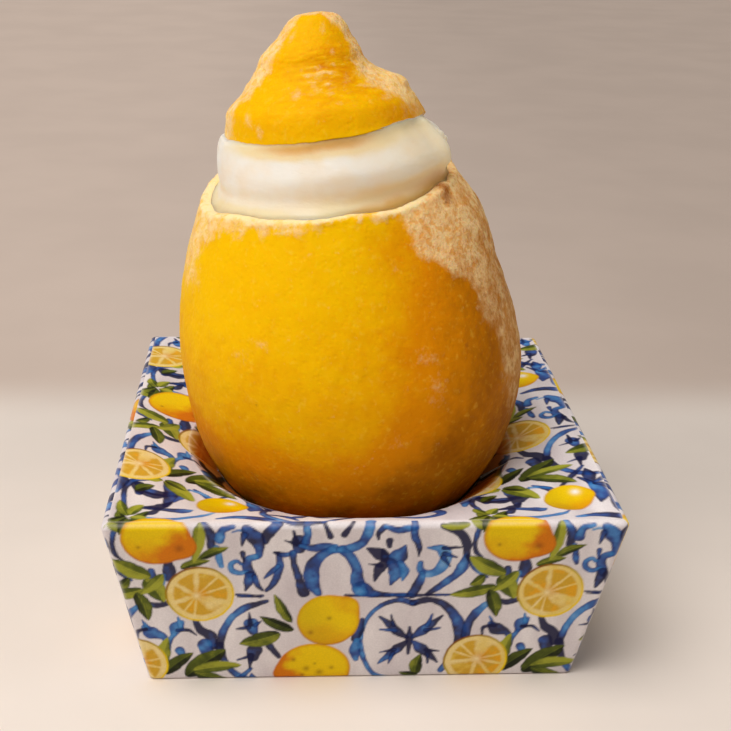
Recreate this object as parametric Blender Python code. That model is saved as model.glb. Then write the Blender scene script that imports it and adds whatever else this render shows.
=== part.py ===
"""A lemon filled with lemon ice cream, standing in its folded card holder.

Four pieces, each one named object:
  holder       folded card box, wider at the top, whose top sags to a round hole with bent-down tabs
  lemon_shell  the scooped-out lemon, cut off at a tilted rim
  ice_cream    the filling, which runs from the bottom of the shell to the cap and bulges between them
  lemon_cap    the lemon's cut-off tip, set on the filling like a lid

Lengths are written in millimetres and turned into metres when a mesh is made. The origin is the
middle of the holder's base, on the surface that it stands on. The front faces -Y and +Z is up.
"""

import math

import bpy
import numpy as np

MM = 0.001
GAP = 0.3                      # clearance between touching pieces

# Holder: a square box of thin card whose sides lean out towards the top.
HOLDER_HEIGHT = 41.0
HOLDER_TOP_WIDTH = 105.0
HOLDER_BASE_WIDTH = 90.3
CARD_THICKNESS = 0.6
FOLD_RADIUS = 1.2              # the top and bottom folds
CORNER_RADIUS = 1.3            # the four upright folds
POINTS_PER_SIDE = 14
POINTS_PER_CORNER = 4

# The hole in the holder's top, its crease and the tabs bent down inside it.
SEAT_CENTRE = (-1.3, -4.5)
CREASE_RADIUS = 37.0
CREASE_SAG = 4.1               # how far the top has sunk where the tabs start
CREASE_SAG_FRONT = 1.1         # and this much more at the front, where the lemon leans on it
TAB_TIP_DROP = 9.8
TAB_CLEARANCE = 0.6            # from the tabs' tips to the lemon
TAB_COUNT = 12
SLIT_WIDTH_AT_CREASE = 0.4
SLIT_WIDTH_AT_TIP = 1.3

# Lemon: round in plan, widest a little below the middle, leaning to -X as it rises.
LEMON_WIDEST_RADIUS = 38.2
LEMON_WIDEST_HEIGHT = 61.0
LEMON_LOWER_DEPTH = 47.5       # from the widest point down to the bottom
LEMON_UPPER_REACH = 79.0       # from the widest point up to where the upper curve would close
LEMON_UPPER_POWER = 1.65       # near 1 is a cone, near 2 is round
LEAN_START_HEIGHT = 51.0
LEAN_SPAN = 82.0
LEAN_AT_TIP = -9.5
LEAN_POWER = 1.35
LUMP_DEPTH = 0.22              # low swellings of the skin
SWELLING = 1.6                 # a knobby swelling high on the right
SWELLING_HEIGHT = 91.0
SWELLING_TALL = 9.0
SWELLING_WIDE = 0.55

# The shell's wall and its tilted rim.
WALL_THICKNESS = 4.6
RIM_THICKNESS = 3.2
RIM_TAPER_HEIGHT = 24.0        # the wall thins over this height below the rim
RIM_HEIGHT = 98.7
RIM_RISE_RIGHT = 2.8           # the rim climbs this much from the axis to +X
RIM_RISE_BACK = 2.8            # and this much to +Y
FLOOR_THICKNESS = 6.5

# The cap: a blunt cone with a shoulder on one side, tipped a little.
CAP_RADIUS = 21.0
CAP_HEIGHT = 22.3
CAP_CENTRE = (-8.5, -5.0, 110.6)
CAP_SLOPE_RIGHT = 0.125        # climb of its lower face towards +X
CAP_SLOPE_BACK = -0.08         # and towards +Y
CAP_PROFILE = ((0.0, 1.0), (0.19, 0.935), (0.35, 0.73), (0.55, 0.54), (0.76, 0.37), (0.9, 0.265), (0.975, 0.155))
CAP_LEAN = -1.3                # how far its upper part stands off its middle
CAP_SHOULDER = 2.4             # the shoulder's reach
CAP_SHOULDER_RISE = 8.4        # its height above the cap's lower face
CAP_SHOULDER_TALL = 2.4
CAP_SHOULDER_WIDE = 0.7
CAP_HOLLOW_DEPTH = 3.0
CAP_WALL = 2.6

# The filling's bulge between rim and cap.
BULGE_RADIUS = 24.6
BULGE_LEAN = 0.3               # its middle, to -X of the lemon's axis at the rim
FLANK_DEPTH = 1.7              # the scooped hollow on its right side
FLANK_ANGLE = math.radians(-4.0)
FLANK_SPREAD = 0.26
BULGE_ROUND = ((0.04, 0.955), (0.16, 0.985), (0.34, 1.0), (0.54, 1.0), (0.72, 0.985), (0.87, 0.95), (0.96, 0.905))
BULGE_SLOPED = (0.985, 1.01, 1.0, 0.96, 0.91, 0.86, 0.82)      # the same rings on its right side

LEMON_TURNS = 60               # points round the shell and the filling, whose rings match
CAVITY_RINGS = 15
CAP_TURNS = 56


def remove_all_objects():
    """Empty the scene without closing the file that this script runs from."""
    for thing in list(bpy.data.objects):
        bpy.data.objects.remove(thing, do_unlink=True)


def smoothstep(t):
    """Ease from 0 to 1 as t goes from 0 to 1."""
    t = np.clip(t, 0.0, 1.0)
    return t * t * (3.0 - 2.0 * t)


def signed_angle(turn):
    """The angle from the right-hand side, between minus and plus half a turn."""
    return np.arctan2(np.sin(turn), np.cos(turn))


def curve_through(stations, x):
    """Read a smooth curve through (x, y) stations, whose slopes are those of the neighbours' chord."""
    knots = np.array(stations)
    slopes = np.gradient(knots[:, 1], knots[:, 0])
    i = np.clip(np.searchsorted(knots[:, 0], x) - 1, 0, len(knots) - 2)
    width = knots[i + 1, 0] - knots[i, 0]
    t = np.clip((x - knots[i, 0]) / width, 0.0, 1.0)
    hermite_0 = 2 * t**3 - 3 * t**2 + 1
    hermite_1 = t**3 - 2 * t**2 + t
    hermite_2 = 3 * t**2 - 2 * t**3
    hermite_3 = t**3 - t**2
    return (hermite_0 * knots[i, 1] + hermite_1 * width * slopes[i]
            + hermite_2 * knots[i + 1, 1] + hermite_3 * width * slopes[i + 1])


def make_material(name, colour, roughness, subsurface=0.0):
    """A Principled material in one colour."""
    material = bpy.data.materials.new(name)
    material.use_nodes = True
    shader = material.node_tree.nodes["Principled BSDF"]
    shader.inputs["Base Color"].default_value = (*colour, 1.0)
    shader.inputs["Roughness"].default_value = roughness
    shader.inputs["Metallic"].default_value = 0.0
    shader.inputs["Subsurface Weight"].default_value = subsurface
    return material


def object_from_rings(name, rings, start, end, material, sharp_angle=35.0):
    """Skin a closed body over rings of points, closed at both ends.

    The rings run from the outside's bottom, over the rim, to the inside's bottom, each one
    counter-clockwise seen from above. `start` and `end` are the poles, or None for a flat face.
    """
    turns = len(rings[0])
    points = [np.asarray(ring, dtype=float) for ring in rings]
    count = len(points) * turns
    across = np.arange(turns)
    after = (across + 1) % turns
    faces = []
    for row in range(len(points) - 1):
        low, high = row * turns, (row + 1) * turns
        faces += np.stack([low + across, low + after, high + after, high + across], axis=1).tolist()
    last = (len(points) - 1) * turns
    if start is None:
        faces.append(across[::-1].tolist())
    else:
        points.append(np.array([start]))
        faces += [(count, int(b), int(a)) for a, b in zip(across, after)]
        count += 1
    if end is None:
        faces.append((last + across).tolist())
    else:
        points.append(np.array([end]))
        faces += [(count, int(last + a), int(last + b)) for a, b in zip(across, after)]
    mesh = bpy.data.meshes.new(name)
    mesh.from_pydata((np.concatenate(points) * MM).tolist(), [], faces)
    mesh.validate()
    mesh.shade_smooth()
    mesh.set_sharp_from_angle(angle=math.radians(sharp_angle))
    mesh.materials.append(material)
    body = bpy.data.objects.new(name, mesh)
    bpy.context.scene.collection.objects.link(body)
    return body


# ---------------------------------------------------------------- lemon

def lemon_radius(height):
    """The lemon's radius: a quarter ellipse below its widest point, a blunter curve above it."""
    rise = height - LEMON_WIDEST_HEIGHT
    below = np.sqrt(np.clip(1.0 - (rise / LEMON_LOWER_DEPTH) ** 2, 0.0, 1.0))
    above = 1.0 - (np.clip(rise, 0.0, None) / LEMON_UPPER_REACH) ** LEMON_UPPER_POWER
    return LEMON_WIDEST_RADIUS * np.where(rise < 0.0, below, above)


def lemon_axis_x(height):
    """How far the lemon's middle lies from the origin in X, as it leans."""
    climb = np.clip((height - LEAN_START_HEIGHT) / LEAN_SPAN, 0.0, None)
    return SEAT_CENTRE[0] + LEAN_AT_TIP * climb ** LEAN_POWER


def lemon_ring(turn, height, inset=0.0):
    """Points on the lemon's skin, or `inset` inside it, at one height for each turn angle."""
    lumps = LUMP_DEPTH * (np.sin(2 * turn + height / 17.0) + 0.6 * np.sin(5 * turn - height / 11.0))
    fade = np.clip(lemon_radius(height) / LEMON_WIDEST_RADIUS, 0.0, 1.0)
    swelling = SWELLING * np.exp(-((height - SWELLING_HEIGHT) / SWELLING_TALL) ** 2
                                 - (signed_angle(turn) / SWELLING_WIDE) ** 2)
    radius = lemon_radius(height) + lumps * fade + swelling - inset
    return np.stack([lemon_axis_x(height) + radius * np.cos(turn),
                     SEAT_CENTRE[1] + radius * np.sin(turn),
                     height + 0.0 * turn], axis=1)


def rim_height(turn):
    """The height of the shell's cut edge, which tilts up to the right and to the back."""
    return RIM_HEIGHT + RIM_RISE_RIGHT * np.cos(turn) + RIM_RISE_BACK * np.sin(turn)


def wall_at(height, turn):
    """The shell's wall, thinner towards the rim."""
    near_rim = smoothstep(1.0 - (rim_height(turn) - height) / RIM_TAPER_HEIGHT)
    return WALL_THICKNESS + (RIM_THICKNESS - WALL_THICKNESS) * near_rim


def cavity_floor():
    """The height of the cavity's lowest point."""
    return LEMON_WIDEST_HEIGHT - LEMON_LOWER_DEPTH + FLOOR_THICKNESS


def cavity_ring(turn, share, clearance):
    """Points on the cavity's wall, where share runs from 0 at its floor to 1 at the rim."""
    floor = cavity_floor()
    height = floor + (rim_height(turn) - floor) * share
    wall = wall_at(height, turn)
    # near its floor the cavity is a round bowl, so its radius comes from an ellipse of its own
    bowl = LEMON_WIDEST_HEIGHT - floor
    rise = np.clip((height - LEMON_WIDEST_HEIGHT) / bowl, -1.0, 0.0)
    low_radius = (LEMON_WIDEST_RADIUS - WALL_THICKNESS) * np.sqrt(np.clip(1.0 - rise**2, 0.0, 1.0))
    high_radius = lemon_radius(height) - wall
    radius = np.where(height < LEMON_WIDEST_HEIGHT, low_radius, high_radius) - clearance
    return np.stack([lemon_axis_x(height) + radius * np.cos(turn),
                     SEAT_CENTRE[1] + radius * np.sin(turn),
                     height + clearance * (1.0 - share) ** 3], axis=1)


def round_shares(count):
    """Shares of the way up to the rim, closer together near the bottom, where the surface turns in."""
    return (1.0 - np.cos(np.linspace(0.12, 1.0, count) * math.pi / 2)) ** 0.9


def build_lemon_shell(rind):
    """The scooped-out lemon: skin, rounded rim and cavity in one closed body."""
    turn = np.linspace(0.0, 2 * math.pi, LEMON_TURNS, endpoint=False)
    bottom = LEMON_WIDEST_HEIGHT - LEMON_LOWER_DEPTH
    top = rim_height(turn)
    rings = []
    for share in round_shares(24):
        rings.append(lemon_ring(turn, bottom + (top - bottom) * share))
    # over the rim: half a circle from the skin to the cavity
    half_wall = RIM_THICKNESS / 2
    for angle in np.linspace(0.0, math.pi, 5)[1:-1]:
        ring = lemon_ring(turn, top, inset=half_wall * (1.0 - math.cos(angle)))
        ring[:, 2] += half_wall * math.sin(angle)
        rings.append(ring)
    for share in round_shares(CAVITY_RINGS)[::-1]:
        rings.append(cavity_ring(turn, share, 0.0))
    axis = (SEAT_CENTRE[0], SEAT_CENTRE[1])
    return object_from_rings("lemon_shell", rings, (*axis, bottom), (*axis, cavity_floor()), rind)


# ---------------------------------------------------------------- cap

def cap_rotation():
    """The matrix that tips the cap, whose columns are its own right, back and up directions."""
    up = np.array([-CAP_SLOPE_RIGHT, -CAP_SLOPE_BACK, 1.0])
    up /= np.linalg.norm(up)
    right = np.cross((0.0, 1.0, 0.0), up)
    right /= np.linalg.norm(right)
    return np.stack([right, np.cross(up, right), up], axis=1)


def place_cap_points(points):
    """Tip points in the cap's own frame and set them on the filling."""
    return points @ cap_rotation().T + np.array(CAP_CENTRE)


def cap_radius(share, turn):
    """The cap's radius at a share of its height, with the shoulder that swells on its right."""
    off_height = (share * CAP_HEIGHT - CAP_SHOULDER_RISE) / CAP_SHOULDER_TALL
    shoulder = CAP_SHOULDER * np.exp(-off_height**2 - (signed_angle(turn) / CAP_SHOULDER_WIDE) ** 2)
    uneven = 0.25 * np.sin(3 * turn + 9 * share) * (1.0 - share)
    return CAP_RADIUS * curve_through(CAP_PROFILE, share * np.ones_like(turn)) + shoulder + uneven


def cap_underside(radius):
    """The height of the cap's lower face in its own frame: a flat wall round a shallow hollow."""
    inner = CAP_RADIUS - CAP_WALL
    return CAP_HOLLOW_DEPTH * np.clip(1.0 - (radius / inner) ** 2, 0.0, 1.0)


def build_lemon_cap(rind):
    """The cut-off tip of the lemon."""
    turn = np.linspace(0.0, 2 * math.pi, CAP_TURNS, endpoint=False)

    def ring(radius, height):
        lean = CAP_LEAN * smoothstep(height / (0.45 * CAP_HEIGHT))
        return place_cap_points(np.stack([lean + radius * np.cos(turn), radius * np.sin(turn),
                                          height + 0.0 * turn], axis=1))

    inner = CAP_RADIUS - CAP_WALL
    rings = []
    for share in (0.2, 0.45, 0.7, 0.88, 1.0):
        radius = inner * share
        rings.append(place_cap_points(np.stack([radius * np.cos(turn), radius * np.sin(turn),
                                                cap_underside(radius) + 0.0 * turn], axis=1)))
    edge = cap_radius(0.02, turn)
    rings.append(ring(edge - 0.9, 0.0))
    rings.append(ring(edge, 0.02 * CAP_HEIGHT + 0.3))
    for share in (0.1, 0.19, 0.27, 0.35, 0.42, 0.48, 0.55, 0.65, 0.76, 0.84, 0.9, 0.945, 0.975):
        rings.append(ring(cap_radius(share, turn), share * CAP_HEIGHT))
    tip = place_cap_points(np.array([[CAP_LEAN, 0.0, CAP_HEIGHT]]))[0]
    hollow = place_cap_points(np.array([[0.0, 0.0, CAP_HOLLOW_DEPTH]]))[0]
    return object_from_rings("lemon_cap", rings, hollow, tip, rind, sharp_angle=50.0)


# ---------------------------------------------------------------- filling

def bulge_radius(turn):
    """The filling's reach round the gap, with the scooped flank and the lip behind it."""
    flank = FLANK_DEPTH * np.exp(-(signed_angle(turn - FLANK_ANGLE) / FLANK_SPREAD) ** 2)
    return BULGE_RADIUS + 0.25 * np.sin(3 * turn + 0.8) - flank


def build_ice_cream(cream):
    """The filling: the cavity's shape, then the bulge over the rim, then its top under the cap."""
    turn = np.linspace(0.0, 2 * math.pi, LEMON_TURNS, endpoint=False)
    rings = []
    for share in round_shares(CAVITY_RINGS):
        rings.append(cavity_ring(turn, share, GAP))

    # the bulge's middle line climbs from the rim to the underside of the cap's edge
    rim_clear = RIM_THICKNESS / 2 + GAP
    centre_x = lemon_axis_x(RIM_HEIGHT) - BULGE_LEAN
    low = rim_height(turn) + rim_clear
    collar = rings[-1].copy()
    collar[:, 2] = low
    rings.append(collar)
    cap_edge = place_cap_points(np.stack([(CAP_RADIUS - 1.0) * np.cos(turn),
                                          (CAP_RADIUS - 1.0) * np.sin(turn),
                                          -GAP + 0.0 * turn], axis=1))
    reach = bulge_radius(turn)
    toward_right = np.exp(-(signed_angle(turn) / 0.8) ** 2)
    for (rise, swell), sloped in zip(BULGE_ROUND, BULGE_SLOPED):
        radius = reach * (swell + (sloped - swell) * toward_right)
        share = smoothstep((rise - 0.5) / 0.5)
        x = (centre_x + radius * np.cos(turn)) * (1 - share) + share * (
            cap_edge[:, 0] + (radius - CAP_RADIUS + 1.0) * np.cos(turn) * 0.55)
        y = (SEAT_CENTRE[1] + radius * np.sin(turn)) * (1 - share) + share * (
            cap_edge[:, 1] + (radius - CAP_RADIUS + 1.0) * np.sin(turn) * 0.55)
        rings.append(np.stack([x, y, low + (cap_edge[:, 2] - 0.15 - low) * rise], axis=1))
    rings.append(cap_edge)
    inner = CAP_RADIUS - CAP_WALL
    for share in (1.0, 0.85, 0.65, 0.4, 0.2):
        radius = inner * share
        rings.append(place_cap_points(np.stack([radius * np.cos(turn), radius * np.sin(turn),
                                                cap_underside(radius) - GAP + 0.0 * turn], axis=1)))
    crown = place_cap_points(np.array([[0.0, 0.0, CAP_HOLLOW_DEPTH - GAP]]))[0]
    foot = (SEAT_CENTRE[0], SEAT_CENTRE[1], cavity_floor() + GAP)
    return object_from_rings("ice_cream", rings, foot, crown, cream)


# ---------------------------------------------------------------- holder

def rounded_square(half_width, corner):
    """Points round a square with round corners, counter-clockwise from its right side's foot."""
    flat = half_width - corner
    points = []
    for quarter in range(4):
        turned = math.radians(90 * quarter)
        along = np.linspace(-flat, flat, POINTS_PER_SIDE, endpoint=False)
        side = np.stack([np.full_like(along, half_width), along], axis=1)
        bend = np.linspace(0.0, math.pi / 2, POINTS_PER_CORNER, endpoint=False)
        arc = np.stack([flat + corner * np.cos(bend), flat + corner * np.sin(bend)], axis=1)
        quarter_points = np.concatenate([side, arc])
        matrix = np.array([[math.cos(turned), -math.sin(turned)], [math.sin(turned), math.cos(turned)]])
        points.append(quarter_points @ matrix.T)
    return np.concatenate(points)


def square_ring(half_width, corner, height):
    """A level ring round the box."""
    outline = rounded_square(half_width, corner)
    return np.column_stack([outline, np.full(len(outline), height)])


def seat_directions():
    """Unit vectors from the hole's middle towards each point of the box's edge."""
    outline = rounded_square(HOLDER_TOP_WIDTH / 2, CORNER_RADIUS) - np.array(SEAT_CENTRE)
    return outline / np.linalg.norm(outline, axis=1, keepdims=True)


def circle_ring(radius, height):
    """A ring round the hole, whose points lie on lines to the box's edge."""
    directions = seat_directions()
    outline = np.array(SEAT_CENTRE) + np.reshape(radius * np.ones(len(directions)), (-1, 1)) * directions
    return np.column_stack([outline, height + np.zeros(len(outline))])


def half_width_at(height):
    """Half the box's outer width at one height, as its sides lean out."""
    share = height / HOLDER_HEIGHT
    return (HOLDER_BASE_WIDTH + (HOLDER_TOP_WIDTH - HOLDER_BASE_WIDTH) * share) / 2


def panel_rings(thickness_below):
    """The sagging top from its fold to the crease, then the tab, as rings from outside in."""
    top = HOLDER_HEIGHT - thickness_below
    fold = square_ring(half_width_at(HOLDER_HEIGHT) - FOLD_RADIUS - thickness_below * 0.3,
                       CORNER_RADIUS - 0.5, top)
    toward_front = -seat_directions()[:, 1]
    sag = CREASE_SAG + CREASE_SAG_FRONT * toward_front
    crease = circle_ring(CREASE_RADIUS + thickness_below * 0.4, top - sag)
    rings = [fold]
    for share in (0.3, 0.65):
        between = fold + (crease - fold) * share
        between[:, 2] = top - sag * share**1.4
        rings.append(between)
    rings.append(crease)
    tip_drop = TAB_TIP_DROP + CREASE_SAG_FRONT * toward_front
    tip_radius = lemon_radius(HOLDER_HEIGHT - tip_drop) + TAB_CLEARANCE
    for share in (0.45, 1.0):
        radius = CREASE_RADIUS + (tip_radius - CREASE_RADIUS) * share + thickness_below * 0.75
        drop = sag + (tip_drop - sag) * share**1.1
        rings.append(circle_ring(radius, HOLDER_HEIGHT - drop - thickness_below * 0.7))
    return rings


def build_slit_cutters():
    """Wedges that part the bent-down collar into tabs, wider towards the tips."""
    cutters = bpy.data.collections.new("slit_cutters")
    bpy.context.scene.collection.children.link(cutters)
    near, far = CREASE_RADIUS - 0.6, CREASE_RADIUS - 10.0
    low, high = HOLDER_HEIGHT - TAB_TIP_DROP - 4.0, HOLDER_HEIGHT - CREASE_SAG + 2.0
    for number in range(TAB_COUNT):
        angle = 2 * math.pi * (number + 0.37) / TAB_COUNT
        along = np.array([math.cos(angle), math.sin(angle)])
        side = np.array([-along[1], along[0]])
        plan = [far * along - side * SLIT_WIDTH_AT_TIP / 2, near * along - side * SLIT_WIDTH_AT_CREASE / 2,
                near * along + side * SLIT_WIDTH_AT_CREASE / 2, far * along + side * SLIT_WIDTH_AT_TIP / 2]
        corners = [(*(np.array(SEAT_CENTRE) + p), z) for z in (low, high) for p in plan]
        faces = [(3, 2, 1, 0), (4, 5, 6, 7), (0, 1, 5, 4), (1, 2, 6, 5), (2, 3, 7, 6), (3, 0, 4, 7)]
        mesh = bpy.data.meshes.new(f"slit_{number}")
        mesh.from_pydata((np.array(corners) * MM).tolist(), [], faces)
        cutter = bpy.data.objects.new(f"slit_{number}", mesh)
        cutter.hide_render = True
        cutter.display_type = "WIRE"
        cutters.objects.link(cutter)
    return cutters


def build_holder(card):
    """The folded card box: base, leaning sides, sagging top and the tabs round its hole."""
    t = CARD_THICKNESS
    rings = [square_ring(half_width_at(0.0) - 0.7, CORNER_RADIUS - 0.4, 0.0),
             square_ring(half_width_at(0.0), CORNER_RADIUS, 0.7)]
    for height in (HOLDER_HEIGHT / 3, 2 * HOLDER_HEIGHT / 3):
        rings.append(square_ring(half_width_at(height), CORNER_RADIUS, height))
    fold_foot = HOLDER_HEIGHT - FOLD_RADIUS
    for angle in (0.0, math.radians(35), math.radians(65)):
        drop = FOLD_RADIUS * (1.0 - math.sin(angle))
        inset = FOLD_RADIUS * (1.0 - math.cos(angle))
        rings.append(square_ring(half_width_at(fold_foot) - inset, CORNER_RADIUS, HOLDER_HEIGHT - drop))
    rings += panel_rings(0.0)
    rings += panel_rings(t)[::-1]
    rings.append(square_ring(half_width_at(fold_foot) - t, CORNER_RADIUS - 0.4, fold_foot - 0.4))
    rings.append(square_ring(half_width_at(HOLDER_HEIGHT / 2) - t, CORNER_RADIUS - 0.4, HOLDER_HEIGHT / 2))
    rings.append(square_ring(half_width_at(t) - t, CORNER_RADIUS - 0.4, t))
    body = object_from_rings("holder", rings, None, None, card)
    cut = body.modifiers.new("slits", "BOOLEAN")
    cut.operation = "DIFFERENCE"
    cut.operand_type = "COLLECTION"
    cut.collection = build_slit_cutters()
    cut.solver = "EXACT"
    return body


def main():
    """Build the four pieces in place."""
    remove_all_objects()
    build_holder(make_material("printed_card", (0.86, 0.83, 0.82), 0.45))
    build_lemon_shell(make_material("lemon_rind", (0.95, 0.62, 0.01), 0.5, 0.1))
    build_ice_cream(make_material("lemon_ice_cream", (0.92, 0.88, 0.78), 0.45, 0.3))
    build_lemon_cap(make_material("cap_rind", (0.95, 0.60, 0.01), 0.5, 0.1))


main()
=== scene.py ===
"""Finishes and final meshes for a lemon filled with lemon ice cream in its printed card holder.

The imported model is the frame: every piece here lies where its solid lies and stands for it. Shapes
are written in millimetres and turned into metres when a mesh is made. The holder's base is at Z 0,
its front faces -Y and +Z is up.
"""

from __future__ import annotations

import logging
import math
from dataclasses import dataclass
from enum import Enum

import bpy
import numpy as np
from mathutils import Matrix

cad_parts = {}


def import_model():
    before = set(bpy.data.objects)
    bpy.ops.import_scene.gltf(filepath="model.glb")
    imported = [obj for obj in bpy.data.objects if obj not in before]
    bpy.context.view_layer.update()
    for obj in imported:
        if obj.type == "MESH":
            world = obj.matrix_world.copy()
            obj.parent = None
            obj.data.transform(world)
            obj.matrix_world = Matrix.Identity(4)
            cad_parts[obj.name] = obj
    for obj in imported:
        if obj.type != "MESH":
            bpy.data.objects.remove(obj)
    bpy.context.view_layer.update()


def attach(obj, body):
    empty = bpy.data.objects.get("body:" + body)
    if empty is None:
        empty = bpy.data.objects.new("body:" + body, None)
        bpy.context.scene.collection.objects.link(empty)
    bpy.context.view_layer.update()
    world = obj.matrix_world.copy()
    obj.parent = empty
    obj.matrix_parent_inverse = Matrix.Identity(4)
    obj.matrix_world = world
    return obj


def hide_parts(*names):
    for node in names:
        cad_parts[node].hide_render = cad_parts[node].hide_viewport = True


MM = 0.001
BODY = "root"
LOG = logging.getLogger("filled_lemon")

Array = np.ndarray
Colour = tuple[float, float, float]
Pair = tuple[float, float]
Material = bpy.types.Material
Piece = bpy.types.Object
Socket = bpy.types.NodeSocket


# -------------------- small maths

def linear(code: str) -> Colour:
    """Turn a display colour code into linear light.

    Args:
        code: six hexadecimal digits after a hash.

    Returns:
        Red, green and blue in linear light.
    """
    channels = [int(code[i:i + 2], 16) / 255 for i in (1, 3, 5)]
    return tuple(c / 12.92 if c <= 0.04045 else ((c + 0.055) / 1.055) ** 2.4 for c in channels)


def smoothstep(t: Array | float) -> Array:
    """Ease from 0 to 1 as t goes from 0 to 1."""
    t = np.clip(t, 0.0, 1.0)
    return t * t * (3.0 - 2.0 * t)


def signed_angle(turn: Array) -> Array:
    """Bring an angle between minus and plus half a turn, measured from +X."""
    return np.arctan2(np.sin(turn), np.cos(turn))


def degrees_round(turn: Array) -> Array:
    """Bring an angle between minus and plus 180 degrees, measured from +X."""
    return np.degrees(signed_angle(turn))


def bell(x: Array, width: float) -> Array:
    """A bell curve of the given width: e to the power of minus (x over width) squared."""
    return np.exp(-(x / width) ** 2)


def lobe(turn: Array, degrees: float, width: float) -> Array:
    """A bell round a direction: 1 towards it, falling off over `width` radians either way."""
    return bell(signed_angle(turn - math.radians(degrees)), width)


def full_turn(count: int) -> Array:
    """Evenly spaced turns once round."""
    return np.linspace(0.0, 2 * math.pi, count, endpoint=False)


def joined(*parts: Array | float) -> Array:
    """Join numbers into points or colours: broadcast together and stacked on a new last axis."""
    return np.stack(np.broadcast_arrays(*parts), axis=-1)


def curve_through(stations: tuple, x: Array) -> Array:
    """Read a smooth curve through (x, y) stations, cubic between them.

    Args:
        stations: (x, y) pairs in rising x.
        x: where to read it.

    Returns:
        The curve's y at each x, level outside the stations.
    """
    knots = np.array(stations)
    slopes = np.gradient(knots[:, 1], knots[:, 0])
    i = np.clip(np.searchsorted(knots[:, 0], x) - 1, 0, len(knots) - 2)
    width = knots[i + 1, 0] - knots[i, 0]
    t = np.clip((x - knots[i, 0]) / width, 0.0, 1.0)
    start, start_slope = 2 * t**3 - 3 * t**2 + 1, t**3 - 2 * t**2 + t
    end, end_slope = 3 * t**2 - 2 * t**3, t**3 - t**2
    return (start * knots[i, 1] + start_slope * width * slopes[i]
            + end * knots[i + 1, 1] + end_slope * width * slopes[i + 1])


def lattice_noise(points: Array, pitch: float, seed: int) -> Array:
    """Value noise between -1 and 1: random numbers on a cubic lattice, eased between its corners.

    Args:
        points: (..., 3) or (..., 2) positions.
        pitch: the lattice's spacing, in the points' unit.
        seed: which lattice.

    Returns:
        One value for each point.
    """
    if points.shape[-1] == 2:
        points = np.concatenate([points, np.zeros(points.shape[:-1] + (1,))], axis=-1)
    scaled = points / pitch + 1000.0
    cell = np.floor(scaled).astype(np.int64)
    ease = smoothstep(scaled - cell)
    total = np.zeros(points.shape[:-1])
    for corner in range(8):
        step = np.array([corner & 1, corner >> 1 & 1, corner >> 2 & 1])
        x, y, z = np.moveaxis(cell + step, -1, 0)
        mixed = (x * 374761393 + y * 668265263 + z * 1440662683 + seed * 974711) & 0xFFFFFFFF
        mixed = ((mixed ^ (mixed >> 13)) * 1274126177) & 0xFFFFFFFF
        value = ((mixed ^ (mixed >> 16)) & 0xFFFFFF) / float(0xFFFFFF) * 2.0 - 1.0
        total += value * np.prod(np.where(step == 1, ease, 1.0 - ease), axis=-1)
    return total


def cloud(points: Array, pitch: float, seed: int, octaves: int = 3) -> Array:
    """Layered noise: each octave has half the pitch and half the height of the one before.

    Args:
        points: positions.
        pitch: the first octave's pitch.
        seed: which noise.
        octaves: how many layers.

    Returns:
        One value for each point, about -1 to 1.
    """
    total = sum(lattice_noise(points, pitch / 2**k, seed + 17 * k) / 2**k for k in range(octaves))
    return total / (2.0 - 2.0 ** (1 - octaves))


def layered(points: Array, *layers: tuple[float, ...]) -> Array:
    """Sum layers of noise, each given as its depth, pitch, seed and, if not three, its octaves."""
    return sum(depth * cloud(points, *how) for depth, *how in layers)


def round_to(turn: Array, reach: Array | float, height: Array | float) -> Array:
    """Points round a straight axis: one for each turn, at a reach from the axis and a height."""
    return joined(reach * np.cos(turn), reach * np.sin(turn), height)


def cubic(before: Array, low: Array, high: Array, after: Array, t: Array) -> Array:
    """A smooth cubic from `low` at t 0 to `high` at t 1, whose slopes come from the points around."""
    return 0.5 * (2 * low + (high - before) * t + (2 * before - 5 * low + 4 * high - after) * t**2
                  + (3 * low - before - 3 * high + after) * t**3)


def resample_rows(rows: Array, counts: list[int]) -> Array:
    """Put extra rows between rows, on a smooth cubic through each column.

    Args:
        rows: (k, n, 3) rows of points.
        counts: how many steps each of the k - 1 gaps is cut into.

    Returns:
        (sum of counts + 1, n, 3) rows of points.
    """
    padded = np.concatenate([2 * rows[:1] - rows[1:2], rows, 2 * rows[-1:] - rows[-2:-1]])
    made = []
    for gap, count in enumerate(counts):
        made.append(cubic(*padded[gap:gap + 4], (np.arange(count) / count)[:, None, None]))
    made.append(rows[-1:])
    return np.concatenate(made)


# -------------------- meshes

def grid_quads(rows: int, columns: int, closed: bool) -> Array:
    """Corner numbers of the quads of a grid whose points run row by row.

    Args:
        rows: rows of points.
        columns: points in each row.
        closed: whether each row's last point joins its first.

    Returns:
        (n, 4) point numbers, facing out where rows climb and columns run counter-clockwise.
    """
    across = np.arange(columns if closed else columns - 1)
    after = (across + 1) % columns
    low = (np.arange(rows - 1) * columns)[:, None]
    return joined(low + across, low + after, low + columns + after, low + columns + across).reshape(-1, 4)


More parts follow.
